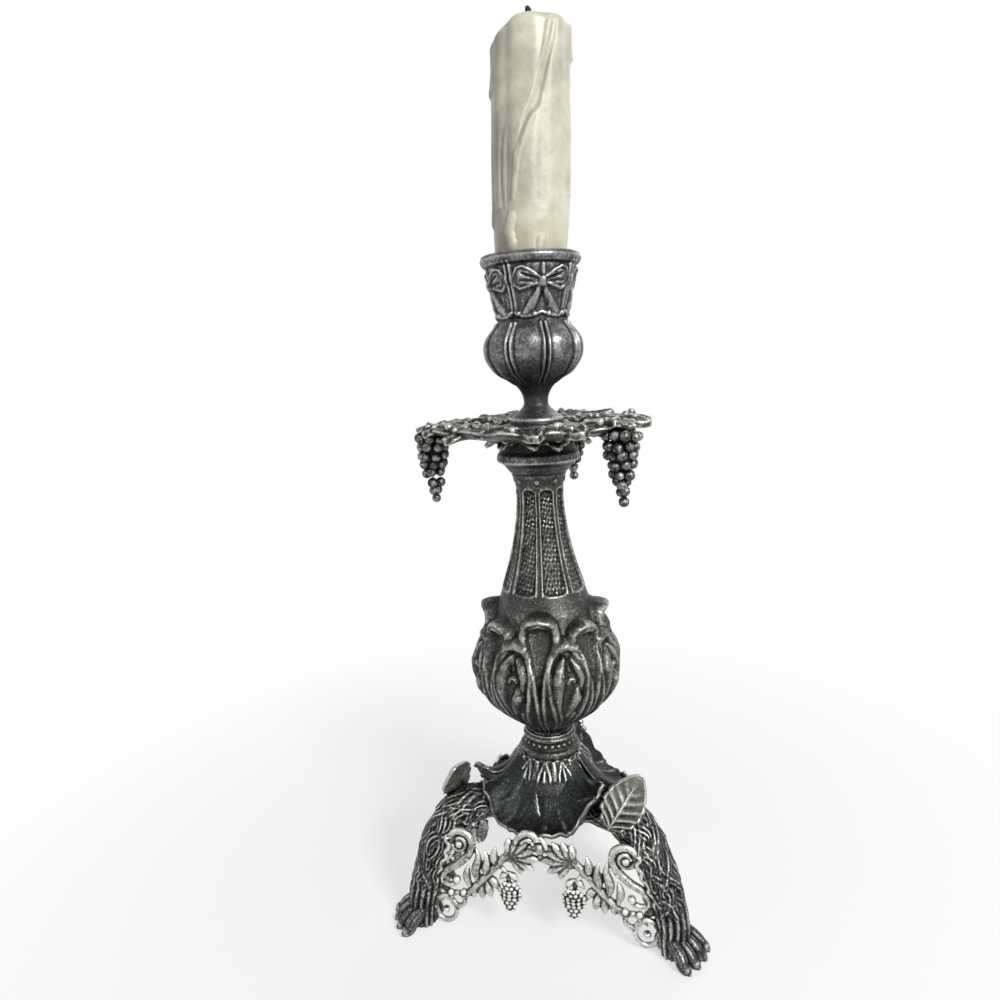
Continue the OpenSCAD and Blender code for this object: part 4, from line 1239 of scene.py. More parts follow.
@dataclass
class GrapeBunch:
    """One bunch of grapes on its stalk, with a small leaf at its shoulder."""

    number: int
    angle: float
    grape_r: float = 1.5
    shoulder_r: float = 5.6
    rows: int = 8
    stalk: float = 0.2
    # The outer grapes, and the ones behind them
    shells: Point2 = (0.0, 2.0)

    def build(self) -> None:
        """Builds the bunch."""
        node = f"grape_bunch_{self.number}"
        top, foot = high(node), low(node)
        rng = random.Random(20 + self.number)
        bm = bmesh.new()
        row_h = (top - foot - self.stalk - 2 * self.grape_r) / (self.rows - 1)
        for row in range(self.rows):
            share = row / (self.rows - 1)
            ring_r = (self.shoulder_r - self.grape_r) * (1 - 0.2 * share - 0.8 * share**1.6)
            for shell in self.shells:
                count = max(1, round(math.tau * (ring_r - shell) / (2.02 * self.grape_r)))
                if shell and ring_r < 2.6:
                    continue
                for k in range(count):
                    a = math.tau * (k + row / 2) / count
                    r = (ring_r - shell if count > 1 else 0.0) + rng.uniform(-0.4, 0.3)
                    z = -self.stalk - self.grape_r - row * row_h + rng.uniform(-0.45, 0.45) * (row < self.rows - 1)
                    size = self.grape_r * rng.uniform(0.9, 1.06)
                    ball(bm, polar(r, a, z), size)
        core = self.shoulder_r - 2.4
        ball(bm, (0, 0, -6.5), (core, core, 5.5))
        grapes = new_object("grapes", bm)
        stalks = tubes("stalks", [[(0, 0, 0, 1.5), (0, 0, -0.8, 1.3), (0.2, 0, -2, 1.2), (0, 0, -5, 0.8)]])
        leaf = vine_leaf(3.6, 0.5, 2.0, 0.8)
        leaf.transform(Matrix.Translation((0.4, 0, -1.6)) @ turn_by(38, "Y"))
        piece = joined(f"grape_bunch_{self.number}_casting", [grapes, stalks, new_object("leaf", leaf)])
        piece.data.transform(turn_by(self.angle) @ Matrix.Translation((self.reach(node), 0, top)))
        dress(piece, GRAPE_PEWTER, Slot.PEWTER, node, reach=1.0)

    def reach(self, node: str) -> float:
        """Returns how far the bunch hangs from the stem's axis."""
        middle = (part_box(node)[0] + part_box(node)[1]) / 2 / MM
        return math.hypot(middle.x, middle.y)


# Stem, collar and hub


@dataclass
class Stem(TurnedPart):
    """The baluster: sunk stippled panels above, a bulb wrapped in tall and short leaves below."""

    node: str = "stem"
    radius: float = 22.0
    steps: int = 320
    curve_step: float = 0.42
    row_step: float = 0.44
    leaves: int = 8
    turn: float = -86.0
    profile_shares: tuple[Point2, ...] = (
        (0.32, 0), (0.33, 0.02), (0.44, 0.045), (0.62, 0.075), (0.79, 0.112), (0.9, 0.148), (0.975, 0.19), (1, 0.24),
        (0.965, 0.295), (0.88, 0.345), (0.78, 0.395), (0.71, 0.43), (0.68, 0.447), (0.645, 0.462), (0.62, 0.475),
        (0.545, 0.53), (0.443, 0.61), (0.36, 0.7), (0.312, 0.8), (0.328, 0.86), (0.355, 0.885), (0.435, 0.915),
        (0.505, 0.932), (0.552, 0.938), (0.56, 0.948), (0.552, 0.96), (0.515, 0.972), (0.49, 0.99), (0.48, 1),
    )
    # Height where the leaves end, ends of the sunk panels, and half the band between them in degrees
    leaf_top: float = 43.5
    panel_foot: float = 46.4
    panel_head: float = 77.6
    band: float = 4.8

    def tall_leaf(self) -> list[Stroke]:
        """Returns the strokes of a tall spoon-shaped leaf with a rolled hood."""
        edge = [
            (0.5, 1, 0.5, 0.5), (0.7, 10, 0.6, 0.9), (0.95, 18, 0.75, 1.1), (1.7, 25, 0.95, 1.3),
            (3.5, 31, 1.15, 1.5), (4.8, 34.4, 1.3, 1.9), (4.8, 37, 1.4, 2.4), (3.8, 39.4, 1.5, 3.6),
            (2.0, 40.9, 1.5, 4.9), (0.0, 41.5, 1.5, 5.3),
        ]
        hood = [(0.0, 40.6, 1.7, 4.9), (2.2, 39.9, 1.6, 4.0), (3.3, 38.6, 1.0, 2.6)]
        return mirrored([edge, hood])

    def tall_hollow(self) -> list[Stroke]:
        """Returns the strokes of the hollow in a tall leaf."""
        return [
            [(0, 37.6, 3.8, -1.2), (0, 34.5, 3.9, -1.2), (0, 29, 2.5, -0.9), (0, 23, 1.2, -0.6), (0, 8, 0.5, -0.3)],
            [(-0.7, 37.4, 1.1, -0.8), (0.5, 35.8, 0.9, -0.8)],
        ]

    def short_leaf(self) -> list[Stroke]:
        """Returns the strokes of a broad curled leaf with swirled lobes."""
        cap = [
            (-3.6, 31.4, 1.0, 1.5), (-2.5, 33.4, 1.7, 2.4), (0.2, 34.3, 1.9, 2.8), (2.8, 33.3, 1.6, 2.3),
            (3.6, 31.6, 0.9, 1.4),
        ]
        left_drop = [
            (-0.9, 30.6, 0.8, 1.3), (-2.2, 28.0, 1.6, 1.9), (-3.0, 24.6, 2.1, 2.2), (-3.3, 20.8, 1.7, 1.8),
            (-3.0, 17.0, 0.9, 1.1), (-2.4, 13.4, 0.4, 0.5),
        ]
        right_drop = [(1.3, 30.2, 0.7, 1.1), (2.9, 28.0, 1.4, 1.6), (3.9, 25.0, 1.3, 1.5), (3.6, 21.8, 0.7, 0.8)]
        hook = [(-0.5, 23.6, 0.45, 1.3), (0.2, 25.2, 0.6, 1.7), (1.4, 25.0, 0.6, 1.5), (1.8, 23.6, 0.4, 0.9)]
        low_drop = [(2.2, 22.0, 0.9, 1.1), (2.0, 19.2, 1.8, 2.0), (0.8, 16.2, 1.4, 1.6), (-0.1, 12.6, 0.6, 0.9)]
        rib = [(-0.2, 29.8, 0.35, 0.9), (0.5, 27.0, 0.35, 0.7)]
        edge = [
            (0.9, 2, 0.5, 0.5), (1.9, 7.5, 0.65, 0.9), (3.8, 13, 0.75, 1.1), (5.4, 19, 0.8, 1.3),
            (5.9, 25, 0.8, 1.4), (5.2, 30, 0.8, 1.5), (4.0, 32.4, 0.7, 1.3),
        ]
        inner_edge = [(0.4, 3, 0.4, 0.4), (1.0, 8.5, 0.5, 0.6), (2.0, 13, 0.6, 0.6)]
        return [cap, left_drop, right_drop, hook, low_drop, rib, *mirrored([edge, inner_edge])]

    def relief(self, angle: Array, height: Array, radius: Array) -> Array:
        """Gives the stem its leaves, panels, bands and beads.

        Args:
            angle: each vertex's angle round the axis, in degrees.
            height: its height.
            radius: its distance from the axis.

        Returns:
            The height of the relief at each vertex.
        """
        up = height - self.foot
        number, off = sector(angle, self.turn, self.leaves)
        u = np.radians(off) * radius
        short = ridges(across(angle, radius, self.turn + 180 / self.leaves, self.leaves), up, self.short_leaf())
        # Every other tall leaf ends a little lower and flatter
        lower = number % 2 == 1
        leaf_up = np.where(lower, up / 0.93, up)
        tall = ridges(u, leaf_up, self.tall_leaf()) * np.where(lower, 0.8, 1)
        hollow = ridges(u, leaf_up, self.tall_hollow())
        tall = np.where(tall > 0.05, tall, hollow)
        bulb = np.where(np.abs(tall) > short, tall, short)
        bulb += -0.45 * eased(3, 8, up) * (1 - eased(38, 43, up))
        return bulb * (1 - eased(self.leaf_top, self.leaf_top + 0.5, up)) + self.neck(number, off, u, up)

    def neck(self, number: Array, off: Array, u: Array, up: Array) -> Array:
        """Gives the neck its sunk panels, the beads over the bands between them and the rings of the head.

        Args:
            number: the sector that each vertex is in, counted between bands.
            off: degrees from the sector's middle, where a band runs up.
            u: distance from the sector's middle.
            up: height over the stem's foot.

        Returns:
            The height of the relief.
        """
        # 0 in the middle of a panel and 1 at its side
        from_panel = np.abs((180 / self.leaves - np.abs(off)) / (180 / self.leaves - self.band))
        inside = 1 - eased(0.88, 1.0, from_panel)
        foot = self.panel_foot + 0.9 * np.clip(from_panel, 0, 1) ** 4
        head = self.panel_head - 1.2 * np.clip(from_panel, 0, 1) ** 3
        panel = inside * eased(0, 0.9, up - foot) * (1 - eased(-0.9, 0, up - head))
        edge = eased(46, 47.5, up) * (1 - eased(76, 77.5, up))
        line = 0.3 * bell(from_panel - 1.02, 0.07) * edge
        bead = ridges(u, up, [[(0, 79.6, 0.8, 0.4), (0, 79.7, 0.8, 0.4)]])
        rings = -0.3 * bell(up - 81.9, 0.35) - 0.25 * bell(up - 84.5, 0.3)
        stipple = np.sin(3.1 * u + 1.7 * up) * np.sin(2.3 * u - 2.9 * up + number)
        stipple += 0.6 * np.sin(4.7 * u + 0.8 * up + 2 * number) * np.sin(1.1 * u + 3.7 * up)
        return (0.14 * stipple - 0.75) * panel + line + bead + rings


@dataclass
class Collar(TurnedPart):
    """The ringed collar between stem and base, with a row of beads in its neck."""

    node: str = "collar"
    worn_r: float = 0.6
    radius: float = 7.04
    steps: int = 220
    curve_step: float = 0.2
    row_step: float = 0.25
    beads: int = 24
    profile_shares: tuple[Point2, ...] = (
        (1.3, 0), (1.34, 0.06), (1.35, 0.16), (1.3, 0.27), (1.18, 0.34), (1.12, 0.42), (1.1, 0.62), (1.12, 0.68),
        (1.17, 0.74), (1.17, 0.84), (1.12, 0.9), (1.08, 1),
    )

    def relief(self, angle: Array, height: Array, radius: Array) -> Array:
        """Gives the collar its beads."""
        bead = [(0, 3.6, 0.6, 0.34), (0, 3.65, 0.6, 0.34)]
        return ridges(across(angle, radius, 0, self.beads), height - self.foot, [bead])


@dataclass
class Hub(TurnedPart):
    """The hub of the base: a cone of small overlapping leaves on a plain drum."""

    node: str = "base_hub"
    finish: AntiquePewter = LEG_PEWTER
    slot: Slot = Slot.BASE
    radius: float = 12.5
    row_step: float = 0.35
    leaves: int = 12
    profile_shares: tuple[Point2, ...] = (
        (0.9, 0), (1, 0.05), (1, 0.46), (1.1, 0.52), (1.14, 0.6), (1.1, 0.7), (0.98, 0.82), (0.84, 0.93), (0.76, 1),
    )

    def relief(self, angle: Array, height: Array, radius: Array) -> Array:
        """Gives the cone two rows of pointed leaves.

        Args:
            angle: each vertex's angle round the axis, in degrees.
            height: its height.
            radius: its distance from the axis.

        Returns:
            The height of the relief at each vertex.
        """
        up = height - self.foot
        edge = [(0.2, 22.4, 0.5, 0.5), (1.7, 19.6, 0.5, 0.75), (2.2, 16.4, 0.5, 0.8), (1.2, 13.2, 0.5, 0.7)]
        upper_vein = [(0.2, 18.6, 0.3, 0.35), (1.4, 16.6, 0.35, 0.5)]
        lower_vein = [(0.2, 16.2, 0.3, 0.35), (1.2, 14.4, 0.35, 0.5)]
        rib = [(0, 22.5, 0.35, 0.4), (0, 18, 0.45, 0.9), (0, 12.6, 0.4, 0.8)]
        back_rib = [(0, 22.6, 0.7, 0.7), (0, 19, 1.2, 0.6), (0, 16, 0.8, 0.2)]
        front = ridges(across(angle, radius, 0, self.leaves), up, [*mirrored([edge, upper_vein, lower_vein]), rib])
        back = ridges(across(angle, radius, 180 / self.leaves, self.leaves), up, [back_rib])
        return np.maximum(front, back) * eased(17.0, 18.6, up)


# The tripod


@dataclass
class Leg:
    """A leg with hair locks, a spur at its back and a lion's paw, and a small leaf on its shoulder."""

    reach: float = 54.0
    base_h: float = 50.0
    width: float = 6.4
    leaf_half: float = 5.6
    leaf_cup: float = 1.4
    sides: int = 108
    seed: int = 5
    hair_rows: int = 17
    locks_round: int = 7
    lock_r: float = 5.4
    foot_length: float = 17.0
    skin: float = 0.28
    # Along the leg: out as a share of reach, up as a share of base_h, half width and half depth in widths
    path_shares: tuple[Point4, ...] = (
        (0.18, 0.64, 0.8, 0.66), (0.3, 0.695, 0.84, 0.68), (0.42, 0.725, 0.9, 0.7), (0.535, 0.715, 0.97, 0.72),
        (0.63, 0.645, 0.98, 0.76), (0.712, 0.52, 0.88, 0.68), (0.775, 0.36, 0.76, 0.62), (0.81, 0.21, 0.7, 0.6),
        (0.822, 0.09, 0.8, 0.56), (0.825, 0.012, 0.72, 0.52),
    )
    toe_sides: tuple[float, ...] = (-4.1, -1.45, 1.45, 4.1)

    def build(self, angles: Sequence[float]) -> None:
        """Builds the three legs with their leaves.

        Args:
            angles: where the legs stand, in the order of their nodes.
        """
        leg = joined("leg", [self.limb(), self.paw(), self.spur()])
        fused(leg, self.skin, 1)
        leaf = self.shoulder_leaf()
        for number, angle in enumerate(angles, 1):
            piece = turned_copy(leg, f"leg_{number}_casting", angle)
            dress(piece, LEG_PEWTER, Slot.BASE, f"leg_{number}", reach=0.75)
            piece = turned_copy(leaf, f"leg_leaf_{number}_casting", angle)
            dress(piece, PALE_PEWTER, Slot.BASE, f"leg_leaf_{number}", reach=0.6)
        for spare in (leg, leaf):
            bpy.data.objects.remove(spare)

    def rows(self) -> list[Array]:
        """Returns smooth rows of (out, up, half width, half depth) along the leg."""
        rows = [
            (self.reach * p[0], self.base_h * p[1], self.width * p[2], self.width * p[3]) for p in self.path_shares
        ]
        return curve_through(rows, 0.34)

    def limb(self) -> Object:
        """Returns the leg itself, with its hair."""
        places = np.array(self.rows())
        last = len(places) - 1
        tangent = np.gradient(places[:, :2], axis=0)
        tangent /= np.linalg.norm(tangent, axis=1)[:, None]
        run = np.concatenate([[0], np.cumsum(np.linalg.norm(np.diff(places[:, :2], axis=0), axis=1))])
        turn, along = np.meshgrid(np.linspace(-180, 180, self.sides, endpoint=False), run)
        rise = self.hair(turn, along)

        def place(x: float, y: float) -> Vector:
            """Wraps the grid round the leg."""
            j = round((x + 1) / 2 * self.sides) % self.sides
            i = round((y + 1) / 2 * last)
            out, up, half_w, half_d = places[i]
            a = math.radians(-180 + 360 * j / self.sides)
            side = (half_w + rise[i, j]) * math.cos(a)
            depth = (half_d + rise[i, j]) * math.sin(a)
            return Vector((out - tangent[i, 1] * depth, side, up + tangent[i, 0] * depth))

        bm = mapped_grid(self.sides, last, place)
        bmesh.ops.remove_doubles(bm, verts=bm.verts[:], dist=WELD)
        bmesh.ops.holes_fill(bm, edges=[e for e in bm.edges if e.is_boundary], sides=0)
        bmesh.ops.recalc_face_normals(bm, faces=bm.faces[:])
        return new_object("limb", bm)

    def hair(self, turn: Array, along: Array) -> Array:
        """Draws the hair locks.

        Args:
            turn: angle round the leg, in degrees, 90 on its upper side.
            along: distance along the leg.

        Returns:
            The height of the relief.
        """
        rng = random.Random(self.seed)
        rise = np.zeros_like(turn)
        length = float(along.max())
        for row in range(self.hair_rows):
            start = 3.5 + row * (length - 21) / (self.hair_rows - 1)
            for k in range(self.locks_round):
                middle = 360 / self.locks_round * (k + 0.5 * (row % 2)) + rng.uniform(-14, 14)
                begin = start + rng.uniform(-1.6, 1.6)
                swing = rng.choice((-1, 1)) * rng.uniform(1.2, 3.0)
                u = np.radians(wrapped(turn - middle)) * self.lock_r
                share = (along - begin) / rng.uniform(9, 13)
                rise = np.maximum(rise, self.lock(u, share, swing, rng.uniform(0, 6)))
        # Over the foot the hair gives way to long tendons
        comb = np.abs(np.cos(np.radians(turn * 7) + 0.5 * np.sin(along * 0.3))) ** 0.7
        low_part = eased(length - self.foot_length, length - 10, along)
        rise = rise * (1 - 0.8 * low_part) + 1.1 * comb * low_part
        return (rise - 0.4) * eased(4.5, 9, along)

    def lock(self, u: Array, share: Array, swing: float, phase: float) -> Array:
        """Draws one curved lock of three strands.

        Args:
            u: distance across from the lock's root.
            share: distance along the lock, 0 at its root and 1 at its tip.
            swing: how far it curves to its sides.
            phase: where in the wave it starts.

        Returns:
            The height of the relief.
        """
        middle = swing * (np.sin(share * 4.6 + phase) - math.sin(phase))
        along = np.clip(share, 0, 1)
        half = 2.5 * np.sin(np.pi * along**0.8) ** 0.6 + 0.01
        off = np.clip((u - middle) / half, -1, 1)
        strands = 0.66 + 0.34 * np.cos(3 * np.pi * off)
        height = (0.5 + 1.15 * along) * (1 - eased(0.86, 1.0, along))
        return height * np.sqrt(1 - off * off) * strands * ((share > 0) & (share < 1))

    def paw(self) -> Object:
        """Returns the toes, their nails and the pad."""
        root = self.reach * 0.79
        bm = bmesh.new()
        runs = []
        for side in self.toe_sides:
            short = 0.35 * abs(side)
            tip = self.reach - 1.7 - short
            toe = [
                (root - 3.5, side * 0.62, 9.4, 1.3), (root + 0.6, side * 0.8, 7.2, 1.7),
                (root + 4.2, side, 5.2, 1.9), (root + 7.0 - short / 2, side * 1.15, 3.5, 2.0),
                (tip - 1.0, side * 1.28, 2.2, 1.85), (tip, side * 1.32, 1.75, 1.65),
            ]
            runs.append(toe)
            ball(bm, (tip, side * 1.32, 1.7), (1.7, 1.65, 1.6), 3)
            ball(bm, (tip + 0.9, side * 1.34, 1.1), (1.2, 0.8, 0.9))
        ball(bm, (root + 3.5, 0, 2.2), (7.0, 5.2, 2.2), 3)
        ball(bm, (root - 0.5, 0, 2.6), (4.0, 4.2, 2.6), 3)
        # The pads stand flat on the table
        for vert in bm.verts:
            vert.co.z = max(vert.co.z, 0.0)
        return joined("paw", [new_object("pads", bm), tubes("toes", runs, 0.5)])

    def spur(self) -> Object:
        """Returns the curled tufts at the back of the leg."""
        runs = [
            [(38.5, 0, 16.5, 1.5), (35.5, 0.6, 14.2, 1.3), (34.0, 0.8, 11.6, 0.9), (35.0, 0.6, 9.8, 0.4)],
            [(39.5, 2.2, 13.5, 1.3), (37.0, 3.4, 11.0, 1.0), (36.4, 3.8, 8.8, 0.6), (37.4, 3.4, 7.4, 0.3)],
            [(39.5, -2.2, 12.5, 1.3), (37.0, -3.2, 10.0, 1.0), (36.6, -3.6, 7.8, 0.6), (37.6, -3.2, 6.6, 0.3)],
        ]
        return tubes("spur", runs)

    def shoulder_leaf(self) -> Object:
        """Returns the small dished leaf, in the leg's own frame."""
        low_end = Vector((self.reach * 0.505, self.width * -1.14, self.base_h * 0.732))
        high_end = Vector((self.reach * 0.62, self.width * 0.125, self.base_h * 1.02))
        along = (high_end - low_end).normalized()
        across = along.cross(Vector((0.5, -0.75, 0.35))).normalized()
        face = across.cross(along)

        def place(x: float, y: float) -> Vector:
            """Lays the grid on the dished leaf."""
            t = (x + 1) / 2
            half = self.leaf_half * (0.05 + 0.95 * math.sin(math.pi * t**0.85) ** 0.8)
            vein = 0.32 * math.cos(math.tau * (6.5 * t - 1.5 * abs(y))) * (1 - math.exp(-((y / 0.12) ** 2)))
            rib = 0.55 * math.exp(-((y / 0.1) ** 2))
            lift = self.leaf_cup * (math.cos(math.pi * t) + y * y * math.sin(math.pi * t))
            lift += (vein + rib) * math.sin(math.pi * min(1, t * 1.2) ** 0.6)
            return low_end + (high_end - low_end) * t + across * half * y + face * (lift - 0.1)

        return new_object("shoulder_leaf", thickened(mapped_grid(96, 44, place), -1.2))


@dataclass
class LargeLeaf:
    """A large cupped leaf that wraps a third of the hub, with a drooping, ruffled lip."""

    half_angle: float = 57.0
    root_r: float = 9.4
    root_z: float = 47.4
    thickness: float = 1.2
    # Along the lip: share of the half angle, radius, height
    lip: tuple[Point3, ...] = (
        (-1, 21.5, 41.5), (-0.93, 24.2, 43.2), (-0.82, 24.8, 41.6), (-0.7, 24.6, 37.4), (-0.55, 24.3, 34.6),
        (-0.4, 24.3, 33.2), (-0.2, 24.0, 33.4), (0, 24.4, 33.6), (0.2, 24.0, 33.9), (0.42, 24.3, 34.8),
        (0.55, 23.9, 38.0), (0.66, 24.2, 42.0), (0.8, 24.5, 45.2), (0.92, 23.8, 46.6), (1, 21.0, 45.4),
    )

    def build(self, angles: Sequence[float]) -> None:
        """Builds the three leaves.

        Args:
            angles: the middle of each leaf, in the order of their nodes.
        """
        leaf = new_object("large_leaf", thickened(mapped_grid(170, 54, self.place), self.thickness))
        for number, angle in enumerate(angles, 1):
            piece = turned_copy(leaf, f"base_leaf_{number}_casting", angle)
            dress(piece, LEAF_PEWTER, Slot.BASE, f"base_leaf_{number}")
        bpy.data.objects.remove(leaf)

    def place(self, x: float, y: float) -> Vector:
        """Lays the grid on the cupped leaf, from inside the hub's cone through the bowl to the lip.

        Args:
            x: share of the half angle, from -1 to 1.
            y: -1 at the root and 1 at the lip.

        Returns:
            The place on the leaf.
        """
        share = (y + 1) / 2
        table = np.array(self.lip)
        lip_r = float(np.interp(x, table[:, 0], table[:, 1])) + 0.3 * math.sin(x * 19) + 0.2 * math.sin(x * 43)
        lip_z = float(np.interp(x, table[:, 0], table[:, 2])) + 0.3 * math.sin(x * 13 + 0.7) + 0.2 * math.sin(x * 31)
        side = float(eased(0.12, 0.9, abs(x)))
        bowl_r, bowl_z = 15.0 + 2.4 * side, 32.6 + 6.7 * side
        a, b, c = (1 - share) ** 2, 2 * share * (1 - share), share**2
        radius = a * self.root_r + b * bowl_r + c * lip_r
        z = a * (self.root_z + 2.0 * x * x) + b * bowl_z + c * lip_z
        # The left lobe overlaps the bowl, one rib runs down into it, and faint veins fan out
        overlap = 0.9 * float(eased(-0.56, -0.64, x)) * math.sin(math.pi * min(1.0, share * 1.1))
        rib = 0.75 * math.exp(-(((x + 0.36 - 0.5 * share) / 0.016) ** 2)) * math.sin(math.pi * min(1.0, share / 0.62))
        veins = max(math.exp(-(((x - lobe * (0.5 + 0.5 * share)) / 0.014) ** 2)) for lobe in (0.06, 0.38, 0.78, -0.8))
        z += overlap + rib + 0.25 * veins * share + 0.05 * math.cos(math.tau * (x * 11 + share * 2)) * share
        return Vector(polar(radius, math.radians(self.half_angle * x), z))


@dataclass
class VinePanel:
    """The openwork between two legs: vine stems, a lobed leaf, blades, a curl and grapes on each half."""

    reach: float = 23.0
    bow: float = 0.95
    half: float = 30.16
    front: float = 270.0
    skin: float = 0.24

    def on_panel(self, x: float, up: float, proud: float = 0.0) -> Point3:
        """Returns the place on the bowed panel for a distance across and up."""
        share = x / self.half
        return (x, -(self.reach + self.bow * (1 - share * share) + proud), up)

    def build(self, angles: Sequence[float]) -> None:
        """Builds the three panels.

        Args:
            angles: the direction that each panel faces, in the order of their nodes.
        """
        half = joined("half", [self.stems(), self.lobed_leaf(), self.grapes(), self.buds()])
        other = linked("half", half.data.copy())
        other.data.transform(Matrix.Scale(-1, 4, (1, 0, 0)))
        other.data.flip_normals()
        panel = joined("panel", [half, other, self.knot()])
        fused(panel, self.skin, 1)
        for number, angle in enumerate(angles, 1):
            piece = turned_copy(panel, f"vine_apron_{number}_casting", angle - self.front)
            dress(piece, VINE_PEWTER, Slot.BASE, f"vine_apron_{number}")
        bpy.data.objects.remove(panel)

    def line(self, places: Sequence[Sequence[float]], proud: float = 0.0) -> list[tuple[float, ...]]:
        """Returns (across, up, radius) places as a run of a tube on the panel."""
        return [(*self.on_panel(p[0], p[1], proud), p[2]) for p in places]

    def stems(self) -> Object:
        """Returns the stems, blades, curl, loops and edge of one half."""
        curl = []
        for i in range(15):
            turn = math.radians(180 - 36 * i)
            r = 4.15 * (1 - 0.78 * i / 14)
            curl.append((24.9 + r * math.cos(turn), 29.4 + r * math.sin(turn), 1.2 - 0.4 * i / 14))
        tail = [
            (20.75, 29.4, 1.2), (22.2, 25.6, 1.3), (26.0, 21.6, 1.3), (29.4, 19.4, 1.2), (31.2, 17.0, 1.1),
            (31.2, 14.9, 0.85), (28.8, 14.2, 0.85), (26.8, 15.2, 0.9), (26.3, 16.4, 1.1),
        ]
        turns = [math.radians(a) for a in range(0, 405, 30)]
        loops = [
            [(x + rx * math.sin(a), z + rz * math.cos(a), 0.85) for a in turns]
            for x, z, rx, rz in ((26.5, 9.4, 2.2, 2.3), (30.7, 5.7, 3.5, 4.2))
        ]
        blades = [
            [(17.2, 18.6, 0.7), (16.8, 21.6, 1.5), (16.4, 24.6, 1.1), (17.2, 27.4, 0.25)],
            [(19.6, 16.6, 0.7), (20.2, 20.4, 1.5), (19.2, 24.6, 1.1), (19.8, 28.0, 0.25)],
            [(22.2, 14.2, 0.7), (23.2, 17.4, 1.3), (23.0, 19.8, 1.0), (22.6, 21.6, 0.25)],
            [(16.8, 19.4, 0.6), (14.4, 17.2, 1.3), (13.0, 14.4, 0.25)],
            [(17.2, 18.4, 0.6), (16.2, 14.4, 1.4), (15.6, 11.2, 0.25)],
            [(18.0, 17.6, 0.6), (18.6, 13.6, 1.35), (18.2, 10.0, 0.25)],
            [(19.2, 16.6, 0.6), (21.2, 13.0, 1.25), (21.2, 10.2, 0.25)],
            [(13.4, 22.6, 0.6), (14.2, 25.6, 1.4), (13.6, 29.2, 0.25)],
            [(9.9, 21.2, 0.5), (8.4, 20.0, 1.1), (6.9, 18.4, 0.25)],
            [(9.9, 21.2, 0.5), (11.4, 20.2, 1.1), (12.9, 18.4, 0.25)],
        ]
        main_stem = [
            (0.4, 30.8, 1.3), (2.6, 30.6, 1.1), (5.4, 29.4, 1.1), (9.6, 27.2, 1.2), (13.8, 22.8, 1.25),
            (18.0, 17.8, 1.25), (21.8, 13.4, 1.2), (24.8, 10.6, 1.0),
        ]
        stalk = [(12.6, 23.4, 0.7), (10.6, 20.8, 0.65), (9.9, 18.2, 0.7), (9.9, 16.0, 0.6)]
        edge = [(28.4, 31.2, 0.9), (28.9, 26.0, 1.15), (32.3, 18.6, 1.15), (34.5, 10.6, 1.15), (34.7, 3.4, 1.0)]
        edge_line = curve_through([place[:2] for place in edge], 1.6)
        braid = [(float(x) + 0.5 * math.sin(i * 1.9), float(z), 0.75) for i, (x, z) in enumerate(edge_line)]
        runs = [curl, tail, *loops, *blades, main_stem, stalk, edge]
        flat = [self.line(run) for run in runs]
        over = [self.line(braid, 0.8), self.line([(x, z, 0.55) for x, z, _ in tail[:6]], 0.55)]
        bead = self.line([(30.7, 5.9, 1.1), (30.7, 4.9, 1.2), (30.7, 4.2, 0.6)])
        return tubes("stems", [*flat, *over, bead], 0.4)

    def lobed_leaf(self) -> Object:
        """Returns the lobed leaf of one half: flat pointed fingers that spring from the main stem."""
        root_x, root_z = 10.6, 26.6
        # Each finger's tip and how far the finger bends to its side
        tips = (
            (9.4, 32.9, 0.5), (6.6, 33.5, 0.6), (3.6, 33.0, 0.5), (0.8, 30.6, 0.2), (-0.6, 26.6, -0.4),
            (1.8, 22.4, -1.0), (5.8, 20.8, -1.4),
        )
        # Share of the way to the tip, and radius there
        swell = ((0.08, 0.75), (0.3, 1.05), (0.55, 1.6), (0.8, 1.15), (1.0, 0.22))
        fingers = []
        for x, z, bend in tips:
            way = Vector((x - root_x, z - root_z))
            side = Vector((-way.y, way.x)).normalized() * bend
            finger = []
            for t, r in swell:
                place_x = root_x + way.x * t + side.x * 4 * t * (1 - t)
                place_z = root_z + way.y * t + side.y * 4 * t * (1 - t)
                finger.append((place_x, place_z, r))
            fingers.append(self.line(finger, 0.25))
        bm = bmesh.new()
        ball(bm, self.on_panel(9.4, 26.6, 0.2), (2.0, 0.9, 1.8), 3)
        return joined("lobed_leaf", [new_object("heart", bm), tubes("fingers", fingers, 0.4)])

    def grapes(self) -> Object:
        """Returns the small cluster that hangs from one half."""
        bm = bmesh.new()
        rng = random.Random(3)
        middle = 9.6
        ball(bm, self.on_panel(middle, 13.9, 0.0), (2.7, 0.9, 4.0), 3)
        for row, count in enumerate((3, 4, 5, 5, 5, 4, 3, 2)):
            for k in range(count):
                x = middle + 1.42 * (k - (count - 1) / 2) + rng.uniform(-0.12, 0.12)
                z = 18.2 - 1.2 * row + rng.uniform(-0.12, 0.12)
                proud = 1.5 - 1.1 * ((x - middle) / 3) ** 2
                ball(bm, self.on_panel(x, z, proud), rng.uniform(0.72, 0.84))
        return new_object("cluster", bm)

    def buds(self) -> Object:
        """Returns the round ends of curl, tail and stem."""
        bm = bmesh.new()
        ends = ((24.9, 28.9, 1.35), (26.4, 16.5, 1.3), (24.4, 12.4, 1.2), (28.6, 11.8, 1.1), (22.6, 24.6, 1.15))
        for x, z, r in ends:
            ball(bm, self.on_panel(x, z, 0.3), r)
        return new_object("buds", bm)

